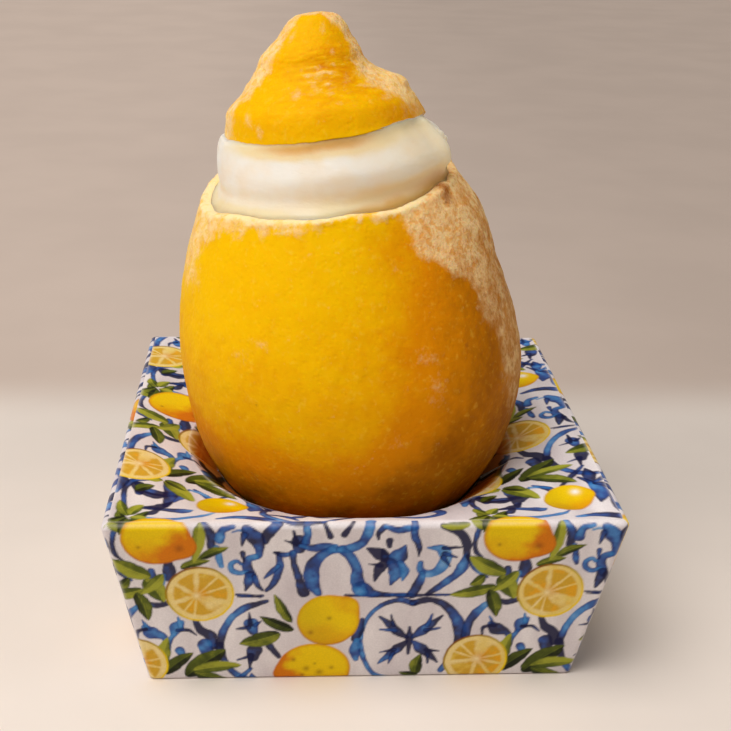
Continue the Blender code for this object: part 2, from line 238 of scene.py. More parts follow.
def make_piece(name: str, points: Array, faces: list[Array], uv: list[Array]) -> Piece:
    """Make a mesh object in the scene from whole arrays.

    Args:
        name: the piece's name.
        points: (n, 3) positions in millimetres.
        faces: arrays of point numbers, each (m, corners) with its own count of corners.
        uv: for each array of faces, (m, corners, 2) places on the flat pattern.

    Returns:
        The object, at the origin.
    """
    mesh = bpy.data.meshes.new(name)
    mesh.vertices.add(len(points))
    mesh.vertices.foreach_set("co", (points * MM).astype(np.float32).ravel())
    corners = np.concatenate([f.ravel() for f in faces])
    sizes = np.concatenate([np.full(len(f), f.shape[1]) for f in faces])
    mesh.loops.add(len(corners))
    mesh.loops.foreach_set("vertex_index", corners.astype(np.int32))
    mesh.polygons.add(len(sizes))
    mesh.polygons.foreach_set("loop_start", (np.cumsum(sizes) - sizes).astype(np.int32))
    mesh.update(calc_edges=True)
    mesh.shade_smooth()
    layer = mesh.uv_layers.new(name="OFBake")
    layer.data.foreach_set("uv", np.concatenate([u.reshape(-1, 2) for u in uv]).astype(np.float32).ravel())
    piece = bpy.data.objects.new(name, mesh)
    bpy.context.scene.collection.objects.link(piece)
    return piece


def make_body(name: str, rings: Array, start: Array, end: Array) -> Piece:
    """Skin a closed body over rings of points, with a fan of triangles at each end.

    The flat pattern is the ring's share of a turn across and the climb over the rings up, so that
    the seam lies where the rings start.

    Args:
        name: the piece's name.
        rings: (r, n, 3) rings, from the start pole to the end pole, each counter-clockwise.
        start: the first pole.
        end: the last pole.

    Returns:
        The object. Its points are the rings' in order, then the two poles.
    """
    rows, columns = rings.shape[:2]
    across = np.arange(columns)
    after = (across + 1) % columns
    last = (rows - 1) * columns
    first_fan = joined(rows * columns, after, across)
    last_fan = joined(rows * columns + 1, last + across, last + after)
    steps = np.linalg.norm(np.diff(rings, axis=0), axis=-1).mean(axis=1)
    climb = np.concatenate([[0.0], np.cumsum(steps)])
    climb = 0.02 + 0.96 * climb / climb[-1]
    left, right = across / columns, (across + 1) / columns
    middle = (left + right) / 2
    row, column = np.divmod(np.arange((rows - 1) * columns), columns)
    quad_uv = np.stack([joined(left[column], climb[row]), joined(right[column], climb[row]),
                        joined(right[column], climb[row + 1]), joined(left[column], climb[row + 1])], axis=1)
    first_uv = np.stack([joined(middle, 0.0), joined(right, 0.02), joined(left, 0.02)], axis=1)
    last_uv = np.stack([joined(middle, 1.0), joined(left, 0.98), joined(right, 0.98)], axis=1)
    points = np.concatenate([rings.reshape(-1, 3), [start], [end]])
    return make_piece(name, points, [grid_quads(rows, columns, closed=True), first_fan, last_fan],
                      [quad_uv, first_uv, last_uv])


@dataclass
class Slab:
    """Thin card bent over a grid: a fine outer face, a coarse inner one and the cut edges between.

    The inner face is the outer one moved back along its normals by the card's thickness. Each
    cut edge joins a run of fine points to one coarse step with a many-sided face.
    """

    outer: Array                   # (rows, columns, 3), rows climbing, columns counter-clockwise
    thickness: float
    stride: int                    # fine steps in one coarse step
    tile: tuple[float, float, float, float] = (0.0, 0.0, 1.0, 1.0)   # its place on the flat pattern
    # the flat pattern's bands, from the bottom: outer face, four thin strips of cut edge, inner face
    margin: float = 0.004
    outer_top: float = 0.86
    edges_start: float = 0.866
    edge_step: float = 0.009
    edge_tall: float = 0.006
    inner_start: float = 0.905

    def face_places(self, rows: int, columns: int, low: float, high: float) -> Array:
        """Places on the flat pattern for a grid of points, between two levels."""
        across = np.linspace(self.margin, 1 - self.margin, columns)
        return np.stack(np.meshgrid(across, np.linspace(low, high, rows)), axis=-1).reshape(-1, 2)

    def parts(self) -> tuple[Array, list[Array], list[Array], Array]:
        """Work out the slab's points, faces, flat pattern and which points are printed.

        Returns:
            Points, arrays of faces, arrays of places on the pattern, and for each face 0 on the
            printed side and 1 elsewhere.
        """
        rows, columns = self.outer.shape[:2]
        normal = np.cross(np.gradient(self.outer, axis=1), np.gradient(self.outer, axis=0))
        normal /= np.linalg.norm(normal, axis=-1, keepdims=True)
        s = self.stride
        inner = (self.outer - normal * self.thickness)[::s, ::s]
        low_rows, low_columns = inner.shape[:2]
        offset = rows * columns
        fine = np.arange(offset).reshape(rows, columns)
        coarse = offset + np.arange(low_rows * low_columns).reshape(low_rows, low_columns)
        faces = [grid_quads(rows, columns, closed=False),
                 offset + grid_quads(low_rows, low_columns, closed=False)[:, ::-1]]
        places = np.concatenate([self.face_places(rows, columns, self.margin, self.outer_top),
                                 self.face_places(low_rows, low_columns, self.inner_start, 1 - self.margin)])
        uv = [places[f] for f in faces]
        edges = ((fine[0], coarse[0], False), (fine[-1], coarse[-1], True),
                 (fine[:, 0], coarse[:, 0], True), (fine[:, -1], coarse[:, -1], False))
        for number, (long_side, short_side, turned) in enumerate(edges):
            runs = np.stack([long_side[k:len(long_side) - s + k:s] for k in range(s + 1)], axis=1)
            ring = np.concatenate([runs[:, ::-1], short_side[:-1, None], short_side[1:, None]], axis=1)
            share = np.concatenate([np.linspace(1, 0, s + 1), [0, 1]])
            across = self.margin + (1 - 2 * self.margin) * (np.arange(len(ring))[:, None] + share) / len(ring)
            base = self.edges_start + self.edge_step * number
            pattern = joined(across, np.where(np.arange(s + 3) > s, base + self.edge_tall, base))
            faces.append(ring[:, ::-1] if turned else ring)
            uv.append(pattern[:, ::-1] if turned else pattern)
        x0, y0, x1, y1 = self.tile
        uv = [np.array([x0, y0]) + p * np.array([x1 - x0, y1 - y0]) for p in uv]
        board = np.concatenate([np.full(len(f), float(k > 0)) for k, f in enumerate(faces)])
        return np.concatenate([self.outer.reshape(-1, 3), inner.reshape(-1, 3)]), faces, uv, board


def make_slabs(name: str, slabs: list[Slab], prints: list[Array]) -> Piece:
    """Make one object of several slabs, each with its printed colours.

    Args:
        name: the piece's name.
        slabs: the slabs.
        prints: for each slab, (rows, columns, 3) colours in linear light.

    Returns:
        The object, with its colours and its unprinted faces stored on the mesh.
    """
    points, faces, uv, board, colours = [], [], [], [], []
    start = 0
    for slab, colour in zip(slabs, prints):
        own_points, own_faces, own_uv, own_board = slab.parts()
        points.append(own_points)
        faces += [f + start for f in own_faces]
        uv += own_uv
        board.append(own_board)
        padding = np.ones((len(own_points) - colour.shape[0] * colour.shape[1], 3)) * 0.7
        colours += [colour.reshape(-1, 3), padding]
        start += len(own_points)
    piece = make_piece(name, np.concatenate(points), faces, uv)
    set_colours(piece, "print", np.concatenate(colours))
    attribute = piece.data.attributes.new("board", "FLOAT", "FACE")
    attribute.data.foreach_set("value", np.concatenate(board).astype(np.float32))
    piece.data.set_sharp_from_angle(angle=math.radians(50))
    return piece


def set_values(piece: Piece, **named: Array) -> None:
    """Store numbers for each point of a piece by name, padding the poles with the nearest ring's."""
    count = len(piece.data.vertices)
    for name, values in named.items():
        flat = values.ravel()
        padded = np.concatenate([flat, np.full(count - len(flat), flat[-1])])
        attribute = piece.data.attributes.new(name, "FLOAT", "POINT")
        attribute.data.foreach_set("value", padded.astype(np.float32))


def set_colours(piece: Piece, name: str, colours: Array) -> None:
    """Store a colour for each point of a piece."""
    rgba = np.concatenate([colours, np.ones((len(colours), 1))], axis=1)
    attribute = piece.data.attributes.new(name, "FLOAT_COLOR", "POINT")
    attribute.data.foreach_set("color", rgba.astype(np.float32).ravel())


def surface_normals(rings: Array) -> Array:
    """Unit normals of a grid closed across its columns: along the columns cross up the rows."""
    along = np.roll(rings, -1, axis=1) - np.roll(rings, 1, axis=1)
    up = np.gradient(rings, axis=0)
    normal = np.cross(along, up)
    return normal / (np.linalg.norm(normal, axis=-1, keepdims=True) + 1e-9)


# -------------------- finishes

class Nodes:
    """A small helper that adds shader nodes to one material and links them."""

    def __init__(self, name: str) -> None:
        """Start a material with an empty Principled surface."""
        self.material = bpy.data.materials.new(name)
        self.material.use_nodes = True
        self.tree = self.material.node_tree
        self.shader = self.tree.nodes["Principled BSDF"]
        self.position = self.tree.nodes.new("ShaderNodeTexCoord").outputs["Object"]

    def set(self, **sockets: float | tuple) -> None:
        """Set the shader's own sockets, named with underscores for spaces."""
        for name, value in sockets.items():
            self.shader.inputs[name.replace("_", " ")].default_value = value

    def link(self, source: Socket, name: str) -> None:
        """Link a socket to one of the shader's inputs."""
        self.tree.links.new(source, self.shader.inputs[name])

    def attribute(self, name: str, output: str = "Fac") -> Socket:
        """Read a value stored on the mesh."""
        node = self.tree.nodes.new("ShaderNodeAttribute")
        node.attribute_name = name
        return node.outputs[output]

    def noise(self, pitch: float, detail: float = 3.0, stretch: tuple = (1, 1, 1)) -> Socket:
        """Noise with a pitch in millimetres, between 0 and 1.

        Args:
            pitch: about the size of its largest patches.
            detail: how many finer layers it has.
            stretch: how much finer it is along each axis.

        Returns:
            The noise's value.
        """
        mapping = self.tree.nodes.new("ShaderNodeMapping")
        mapping.inputs["Scale"].default_value = stretch
        node = self.tree.nodes.new("ShaderNodeTexNoise")
        node.inputs["Scale"].default_value = 1.0 / (pitch * MM)
        node.inputs["Detail"].default_value = detail
        self.tree.links.new(self.position, mapping.inputs["Vector"])
        self.tree.links.new(mapping.outputs["Vector"], node.inputs["Vector"])
        return node.outputs["Fac"]

    def cells(self, pitch: float) -> Socket:
        """Distance to the nearest of many scattered points, for pits and pores."""
        node = self.tree.nodes.new("ShaderNodeTexVoronoi")
        node.inputs["Scale"].default_value = 1.0 / (pitch * MM)
        self.tree.links.new(self.position, node.inputs["Vector"])
        return node.outputs["Distance"]

    def math(self, kind: str, a: Socket | float, b: Socket | float) -> Socket:
        """One arithmetic step on two sockets or numbers."""
        node = self.tree.nodes.new("ShaderNodeMath")
        node.operation = kind
        for socket, value in zip(node.inputs, (a, b)):
            if isinstance(value, (int, float)):
                socket.default_value = value
            else:
                self.tree.links.new(value, socket)
        return node.outputs[0]

    def vary(self, value: Socket, noise: Socket, much: float) -> Socket:
        """Add noise to a value, up to half of `much` either way."""
        return self.math("ADD", value, self.math("MULTIPLY", self.math("SUBTRACT", noise, 0.5), much))

    def remap(self, value: Socket, low: float, high: float, to_low: float = 0.0,
              to_high: float = 1.0) -> Socket:
        """Ease a value from one range to another."""
        node = self.tree.nodes.new("ShaderNodeMapRange")
        node.interpolation_type = "SMOOTHSTEP"
        for name, number in (("From Min", low), ("From Max", high), ("To Min", to_low), ("To Max", to_high)):
            node.inputs[name].default_value = number
        self.tree.links.new(value, node.inputs["Value"])
        return node.outputs["Result"]

    def blend(self, amount: Socket | float, first: Socket | Colour,
              second: Socket | Colour, kind: str = "MIX") -> Socket:
        """Mix two colours by an amount."""
        node = self.tree.nodes.new("ShaderNodeMix")
        node.data_type = "RGBA"
        node.blend_type = kind
        for socket, value in ((node.inputs["Factor"], amount), (node.inputs["A"], first),
                              (node.inputs["B"], second)):
            # a Mix node repeats its socket names for each data type, so colours are found by type
            if socket.name in "AB":
                socket = [s for s in node.inputs if s.name == socket.name and s.type == "RGBA"][0]
            if isinstance(value, Socket):
                self.tree.links.new(value, socket)
            elif isinstance(value, tuple):
                socket.default_value = (*value, 1.0)
            else:
                socket.default_value = value
        return [s for s in node.outputs if s.type == "RGBA"][0]

    def grey(self, value: Socket) -> Socket:
        """Turn a value into a grey colour."""
        node = self.tree.nodes.new("ShaderNodeCombineColor")
        for socket in node.inputs:
            self.tree.links.new(value, socket)
        return node.outputs["Color"]

    def bump(self, height: Socket, depth: float, strength: float = 1.0,
             under: Socket | None = None) -> Socket:
        """Turn a height into a bump of a depth in millimetres, over another bump."""
        node = self.tree.nodes.new("ShaderNodeBump")
        node.inputs["Distance"].default_value = depth * MM
        node.inputs["Strength"].default_value = strength
        self.tree.links.new(height, node.inputs["Height"])
        if under is not None:
            self.tree.links.new(under, node.inputs["Normal"])
        return node.outputs["Normal"]


@dataclass(frozen=True)
class RindFinish:
    """Frozen lemon rind: yellow running to orange and brown with the mesh's tone, on the shell mostly painted
    shade, pores, and frost where the mesh says.
    """

    name: str
    yellow: Colour = (0.93, 0.53, 0.0)
    speck: Colour = (0.95, 0.62, 0.06)
    orange: Colour = (0.78, 0.27, 0.0)
    # painted shade: the brown that the deepest tone reaches, low down and on the right
    brown: Colour = (0.30, 0.085, 0.0)
    frost: Colour = linear("#FEDCA0")
    frost_deep: Colour = linear("#F2BE7C")
    frost_brown: Colour = linear("#B46D20")
    pith: Colour = linear("#FBE3AC")
    spot: Colour = linear("#A05A16")
    pore_pitch: float = 1.15
    pore_depth: float = 0.10
    dimple_pitch: float = 3.4
    dimple_depth: float = 0.5
    broad_pitch: float = 9.0       # the pitches of the noises that break the colours up
    fine_pitch: float = 2.1
    grain_pitch: float = 0.5
    patch_pitch: float = 3.2
    speck_pitch: float = 1.3

    def make(self) -> Material:
        """Build the material.

        Returns:
            A material that reads the mesh's frost, tone, pith and spot values.
        """
        n = Nodes(self.name)
        broad = n.noise(self.broad_pitch, 3)
        fine = n.noise(self.fine_pitch, 5)
        grain = n.noise(self.grain_pitch, 3)
        frosted = n.attribute("frost")
        tone = n.vary(n.vary(n.attribute("tone"), broad, 0.7), fine, 0.45)
        skin = n.blend(n.remap(tone, 0.0, 1.0), self.yellow, self.orange)
        skin = n.blend(n.remap(tone, 0.95, 2.0), skin, self.brown)
        skin = n.blend(n.remap(n.noise(self.speck_pitch, 5), 0.54, 0.76, 0.0, 0.24), skin, self.speck)
        cover = n.math("MULTIPLY", n.remap(n.vary(n.vary(frosted, fine, 1.15), grain, 0.55), 0.12, 0.98),
                       n.remap(frosted, 0.0, 0.10))
        cover = n.math("MULTIPLY", cover, n.remap(n.noise(self.speck_pitch, 4), 0.36, 0.52, 0.45, 1.0))
        patches = n.vary(n.noise(self.patch_pitch, 5), grain, 0.4)
        frost = n.blend(n.remap(patches, 0.34, 0.76), self.frost, self.frost_deep)
        # painted shade: the frost turns brown where the tone is high, down the shaded right side
        shaded = n.remap(n.vary(n.attribute("tone"), patches, 0.8), 1.22, 1.85)
        frost = n.blend(n.math("MULTIPLY", shaded, 0.85), frost, self.frost_brown)
        colour = n.blend(n.math("MULTIPLY", cover, 0.88), skin, frost)
        flesh = n.remap(n.vary(n.vary(n.attribute("pith"), fine, 1.3), grain, 0.5), 0.2, 0.95)
        colour = n.blend(n.math("MULTIPLY", flesh, 0.92), colour, self.pith)
        spotted = n.remap(n.vary(n.attribute("spot"), grain, 0.5), 0.1, 0.9)
        n.link(n.blend(spotted, colour, self.spot), "Base Color")
        n.link(n.remap(cover, 0.0, 1.0, 0.55, 0.8), "Roughness")
        under = n.bump(n.remap(n.cells(self.pore_pitch), 0.0, 0.55), self.pore_depth, 0.5)
        under = n.bump(n.noise(self.dimple_pitch, 3), self.dimple_depth, 0.35, under)
        n.link(n.bump(n.math("MULTIPLY", grain, cover), 0.25, 0.7, under), "Normal")
        n.set(Subsurface_Weight=0.22, Subsurface_Scale=0.0022, Subsurface_Radius=(1.0, 0.42, 0.08),
              Specular_IOR_Level=0.04)
        return n.material


@dataclass(frozen=True)
class CreamFinish:
    """Lemon ice cream: soft white, pith-yellow where it meets the rim, with painted amber shade under the
    cap's rind and painted warm shade low on its right, and churned grain.
    """

    name: str = "lemon_ice_cream_finish"
    white: Colour = linear("#FAF0E6")
    shade: Colour = linear("#F8E8D6")
    pith: Colour = linear("#FBDDAE")
    # painted shade: the amber of the shadow under the cap's edge
    lemon: Colour = linear("#E8B060")
    churn_pitch: float = 3.0       # soft lumps left by churning
    churn_depth: float = 0.5
    grain_pitch: float = 0.5       # the crystals' grain
    grain_depth: float = 0.06

    def make(self) -> Material:
        """Build the material.

        Returns:
            A material that reads the mesh's tint value.
        """
        n = Nodes(self.name)
        tint = n.attribute("tint")
        base = n.blend(n.remap(n.noise(7.0, 3), 0.35, 0.7), self.white, self.shade)
        base = n.blend(n.remap(tint, 0.0, 0.4), base, self.pith)
        n.link(n.blend(n.remap(tint, 0.4, 1.0), base, self.lemon), "Base Color")
        n.link(n.remap(n.noise(2.0, 3), 0.3, 0.7, 0.42, 0.6), "Roughness")
        under = n.bump(n.noise(self.churn_pitch, 3, (1, 1, 2.2)), self.churn_depth, 0.3)
        n.link(n.bump(n.noise(self.grain_pitch, 2), self.grain_depth, 0.4, under), "Normal")
        n.set(Subsurface_Weight=1.0, Subsurface_Scale=0.006, Subsurface_Radius=(1.0, 0.92, 0.8),
              Specular_IOR_Level=0.4)
        return n.material


@dataclass(frozen=True)
class CardFinish:
    """Coated card: print with a soft gloss outside, bare fibrous board on its back and cut edges."""

    name: str = "printed_card_finish"
    pale: Colour = linear("#DED6CC")
    deep: Colour = linear("#BFB2A0")

    def make(self) -> Material:
        """Build the material.

        Returns:
            A material that reads the mesh's print colour and its unprinted faces.
        """
        n = Nodes(self.name)
        bare = n.attribute("board")
        speckle = n.remap(n.noise(0.35, 2), 0.3, 0.75, 0.94, 1.03)
        printed = n.blend(1.0, n.attribute("print", "Color"), n.grey(speckle), "MULTIPLY")
        fibres = n.noise(0.5, 4, (1, 3, 3))
        board = n.blend(n.remap(fibres, 0.4, 0.65), self.pale, self.deep)
        n.link(n.blend(bare, printed, board), "Base Color")
        gloss = n.remap(n.noise(6.0, 2), 0.3, 0.7, 0.40, 0.52)
        n.link(n.math("ADD", gloss, n.math("MULTIPLY", bare, 0.4)), "Roughness")
        under = n.bump(n.noise(14.0, 2), 0.5, 0.10)
        n.link(n.bump(n.noise(0.25, 2), 0.02, 0.35, under), "Normal")
        n.set(Specular_IOR_Level=0.12)
        return n.material


# -------------------- the print

class Ink(Enum):
    """The print's inks, in linear light."""

    GROUND = linear("#EEE8E9")
    GROUND_SHADE = linear("#CABFC4")
    SKY = linear("#7FB0DC")
    AZURE = linear("#3F86C8")
    COBALT = linear("#1B4894")
    NAVY = linear("#121440")
    LEAF_LIGHT = linear("#A4A636")
    LEAF = linear("#57621C")
    LEAF_DARK = linear("#1C220E")
    YELLOW = linear("#F4CE00")
    GOLD = linear("#E8A400")
    OLIVE = linear("#B89C08")
    ORANGE = linear("#D97A06")
    BROWN = linear("#7E3C08")
    FLESH = linear("#E8C648")
    PULP = linear("#D4A214")
    PITH = linear("#F6E2AC")


BLUES = (Ink.SKY, Ink.AZURE, Ink.COBALT, Ink.NAVY)
GREENS = (Ink.LEAF_LIGHT, Ink.LEAF, Ink.LEAF_DARK)
REPEAT = np.array([72.0, 62.0])       # the print repeats at these distances, right and down
INK_SPREAD = 0.65                     # how far ink reaches from a stroke's line, as a share of its width
INK_EDGE = 0.36                       # millimetres over which a stroke's edge fades
PAINT_EDGE = 0.4                      # and a leaf's or a fruit's
RUN_STEPS = 7                         # pieces of line between two points of a stroke


def ramp(stops: tuple[Ink, ...], t: Array) -> Array:
    """Read a colour from evenly spaced inks, straight between them, for t from 0 to 1."""
    places = np.linspace(0.0, 1.0, len(stops))
    return joined(*(np.interp(t, places, [ink.value[k] for ink in stops]) for k in range(3)))


def cover(gap: Array, edge: float = PAINT_EDGE) -> Array:
    """How much paint lies at places `gap` outside a painted edge, or inside it where below 0."""
    return smoothstep(0.5 - gap / edge)


def over(colours: Array, amount: Array, above: Ink | Array | float) -> Array:
    """Lay an ink or other colours over colours, by an amount from 0 to 1 for each."""
    above = np.array(above.value) if isinstance(above, Ink) else above
    return colours + amount[:, None] * (above - colours)


class Sheet:
    """A stretch of the printed sheet, being painted at a set of places."""

    def __init__(self, places: Array) -> None:
        """Lay the off-white ground with its faint mottling.

        Args:
            places: (n, 2) places on the sheet in millimetres, right and down.
        """
        self.places = places
        self.grain = cloud(places, 1.3, 5)
        self.wash = cloud(places, 3.4, 9)
        self.colour = ramp((Ink.GROUND, Ink.GROUND_SHADE), 0.35 + 0.6 * cloud(places * (1.0, 0.35), 4.5, 3))

    def near(self, centre: Array, reach: Array) -> tuple[Array, Array]:
        """Find the places round a point of the pattern and its repeats.

        Args:
            centre: a point in the pattern.
            reach: how far to look, right and down.

        Returns:
            The numbers of the places and their offsets from the nearest repeat of the point.
        """
        offset = (self.places - centre + REPEAT / 2) % REPEAT - REPEAT / 2
        found = np.flatnonzero((np.abs(offset) < reach).all(axis=1))
        return found, offset[found]

    def lay(self, found: Array, amount: Array, colour: Array) -> None:
        """Lay a colour over some places by an amount from 0 to 1."""
        self.colour[found] = over(self.colour[found], amount, colour)


@dataclass(frozen=True)
class Stroke:
    """A brush stroke: a smooth line through points, whose width and tone change along it."""

    path: tuple[Pair, ...]
    widths: tuple[float, ...]
    tones: tuple[float, ...]

    def paint(self, sheet: Sheet) -> None:
        """Paint the stroke: a place is inside where its distance to the line is under half the
        width there. The tone darkens towards the edges, where the wash pools."""
        knots = np.array(self.path)
        padded = np.concatenate([2 * knots[:1] - knots[1:2], knots, 2 * knots[-1:] - knots[-2:-1]])
        t = np.linspace(0.0, 1.0, RUN_STEPS, endpoint=False)[:, None]
        runs = [cubic(*four, t) for four in zip(padded, padded[1:], padded[2:], padded[3:])]
        line = np.concatenate(runs + [knots[-1:]])
        centre = (line.min(axis=0) + line.max(axis=0)) / 2
        found, offset = sheet.near(centre, np.ptp(line, axis=0) / 2 + max(self.widths) * INK_SPREAD + 0.6)
        if not len(found):
            return
        start, step = line[:-1] - centre, np.diff(line, axis=0)
        share = ((offset[:, None] - start) * step).sum(axis=-1) / (step**2).sum(axis=-1)
        share = np.clip(share, 0.0, 1.0)
        away = np.linalg.norm(offset[:, None] - start - share[..., None] * step, axis=-1)
        along = (np.arange(len(step)) + share) / len(step)
        half = np.interp(along, np.linspace(0, 1, len(self.widths)), self.widths) * INK_SPREAD
        nearest = (away - half).argmin(axis=1)
        row = np.arange(len(found))
        along, half = along[row, nearest], half[row, nearest]
        gap = away[row, nearest] - half + 0.16 * sheet.grain[found]
        pooled = np.clip(1.0 + gap / half, 0.0, 1.0) ** 2
        tone = np.interp(along, np.linspace(0, 1, len(self.tones)), self.tones)
        shade = tone + 0.30 * pooled + 0.48 * sheet.wash[found] + 0.20 * sheet.grain[found] + 0.05
        sheet.lay(found, 0.96 * cover(gap, INK_EDGE), ramp(BLUES, np.clip(shade, 0.0, 1.0)))


@dataclass(frozen=True)
class Leaf:
    """A pointed leaf from its base to its tip, darker on one side of a pale midrib."""

    base: Pair
    tip: Pair
    width: float
    tone: float

    def paint(self, sheet: Sheet) -> None:
        """Paint the leaf: half its width at a share s of its length goes as s to the 0.6 times
        (1 - s) to the 0.8, and its tone darkens towards the base."""
        base, tip = np.array(self.base), np.array(self.tip)
        length = np.linalg.norm(tip - base)
        axis = (tip - base) / length
        found, offset = sheet.near((base + tip) / 2, np.full(2, length / 2 + self.width))
        s = (offset @ axis) / length + 0.5
        side = offset @ np.array([-axis[1], axis[0]]) + 0.35 * np.sin(3.0 * s)
        inner = np.clip(s, 0.0, 1.0)
        half = self.width * 1.35 * inner**0.6 * (1.0 - inner) ** 0.8 + 0.02
        gap = np.abs(side) - half + 0.2 * sheet.grain[found] * (half > 0.3)
        gap = np.maximum(gap, (np.abs(s - 0.5) - 0.5) * length)
        shade = self.tone + 0.22 * np.sign(side) * smoothstep(np.abs(side) / 0.5) + 0.3 * (0.5 - s)
        shade = shade + 0.25 * sheet.wash[found] + 0.2 * smoothstep(1.0 + gap / 0.5)
        shade = shade - 0.3 * bell(side, 0.16) + 0.18 * sheet.grain[found]
        sheet.lay(found, cover(gap), ramp(GREENS, np.clip(shade, 0.0, 1.0)))


@dataclass(frozen=True)
class PaintedLemon:
    """A whole lemon: a rounded oval with a nipple on one side, lit from above."""

    centre: Pair
    radii: Pair
    nipple: float                  # direction of the nipple, in degrees, clockwise from the right
    nipple_size: float
    warmth: float                  # how orange its shaded side is
    spots: tuple[tuple[float, float, float], ...] = ()
    shine: Pair | None = None

    def paint(self, sheet: Sheet) -> None:
        """Paint the lemon: an oval joined smoothly to a small round nipple, from yellow at the
        top to olive low on the left and orange towards its nipple and its edge."""
        found, offset = sheet.near(np.array(self.centre), np.array(self.radii) * 1.35 + 0.5)
        x, y = (offset / np.array(self.radii)).T
        size = min(self.radii)
        body = (np.hypot(x, y) - 1.0) * size
        angle = math.radians(self.nipple)
        knob = np.hypot(x - 0.86 * math.cos(angle), y - 0.86 * math.sin(angle)) * size - self.nipple_size
        gap = -0.8 * np.log(np.exp(-body / 0.8) + np.exp(-knob / 0.8) + 1e-12) + 0.08 * sheet.grain[found]
        deep = np.clip(-gap / size, 0.0, 1.0)
        low = np.clip(0.5 + 0.55 * y, 0.0, 1.0)
        colour = ramp((Ink.YELLOW, Ink.YELLOW, Ink.GOLD), np.clip(low + 0.2 * sheet.wash[found], 0, 1))
        olive = smoothstep(0.2 + 0.5 * low - 0.7 * x) * 0.55 * (1 - self.warmth)
        colour = over(colour, olive, Ink.OLIVE)
        toward = x * math.cos(angle) + y * math.sin(angle)
        orange_shade = 0.4 * low + 0.8 * toward + 0.5 * sheet.wash[found]
        orange = 1.5 * self.warmth * smoothstep((orange_shade - 0.35) / 0.7)
        orange = np.clip(orange + 0.55 * smoothstep(1.0 - deep / 0.16) * (0.3 + self.warmth), 0, 1)
        colour = over(colour, orange, Ink.ORANGE)
        brown = 0.45 * smoothstep(1.0 - deep / 0.09) * low
        for sx, sy, r in self.spots:
            brown = np.maximum(brown, 0.55 * bell(np.hypot(offset[:, 0] - sx, offset[:, 1] - sy), r))
        colour = over(colour, brown, Ink.BROWN)
        if self.shine:
            glint = 0.9 * bell(np.hypot(offset[:, 0] - self.shine[0], offset[:, 1] - self.shine[1]), 0.9)
            colour = over(colour, glint, 0.95)
        sheet.lay(found, cover(gap), colour)


@dataclass(frozen=True)
class PaintedSlice:
    """A cut lemon: rind, pale pith and wedges of pulp round a pale core."""

    centre: Pair
    radii: Pair
    core: Pair
    wedges: int
    turned: float
    warmth: float

    def paint(self, sheet: Sheet) -> None:
        """Paint the slice in rings by the distance from its centre, and its wedges by the angle
        round its core: pulp where the angle is away from a membrane."""
        found, offset = sheet.near(np.array(self.centre), np.array(self.radii) + 0.8)
        x, y = (offset / np.array(self.radii)).T
        size = min(self.radii)
        far = np.hypot(x, y) + 0.015 * sheet.grain[found]
        cx, cy = offset[:, 0] - self.core[0], offset[:, 1] - self.core[1]
        turn = np.arctan2(cy, cx)
        turn = turn + 0.26 * np.sin(2 * turn + 9 * self.turned) + 0.14 * np.sin(3 * turn + 1.0)
        angle = turn * self.wedges / (2 * math.pi) + self.turned
        off_membrane = np.abs(angle - np.round(angle)) * 2 * math.pi / self.wedges * np.hypot(cx, cy)
        off_membrane = off_membrane + 0.25 * sheet.grain[found]
        pulp = smoothstep(off_membrane / 0.5 - 0.3) * smoothstep(np.hypot(cx, cy) - 0.5)
        pulp = pulp * smoothstep((0.82 - far + 0.05 * sheet.wash[found]) / 0.07)
        blot = np.clip(0.5 + 0.8 * sheet.wash[found] + 0.35 * sheet.grain[found], 0.0, 1.0)
        colour = ramp((Ink.PITH, Ink.FLESH), 0.3 + 0.5 * blot)
        flesh = ramp((Ink.FLESH, Ink.PULP, Ink.PULP, Ink.GOLD), np.clip(blot + 0.2 * self.warmth, 0, 1))
        colour = over(colour, 0.9 * pulp, flesh)
        warm = self.warmth * bell(np.hypot(cx - 0.8, cy + 0.4), 1.7) * 0.8
        colour = over(colour, warm, Ink.ORANGE)
        rind = ramp((Ink.YELLOW, Ink.OLIVE, Ink.BROWN), np.clip(0.35 - 0.5 * y - 0.35 * x, 0, 1))
        colour = over(colour, smoothstep((far - 0.91) / 0.05), rind)
        colour = over(colour, 0.8 * bell(np.hypot(cx, cy), 0.7), Ink.PITH)
        sheet.lay(found, cover((far - 1.0) * size), colour)


def tick(start: Pair, end: Pair, width: float = 0.9, tone: float = 0.9) -> tuple:
    """The row of a short straight stroke that runs out to a point."""
    return (start, end), (width, 0.3), (tone,)


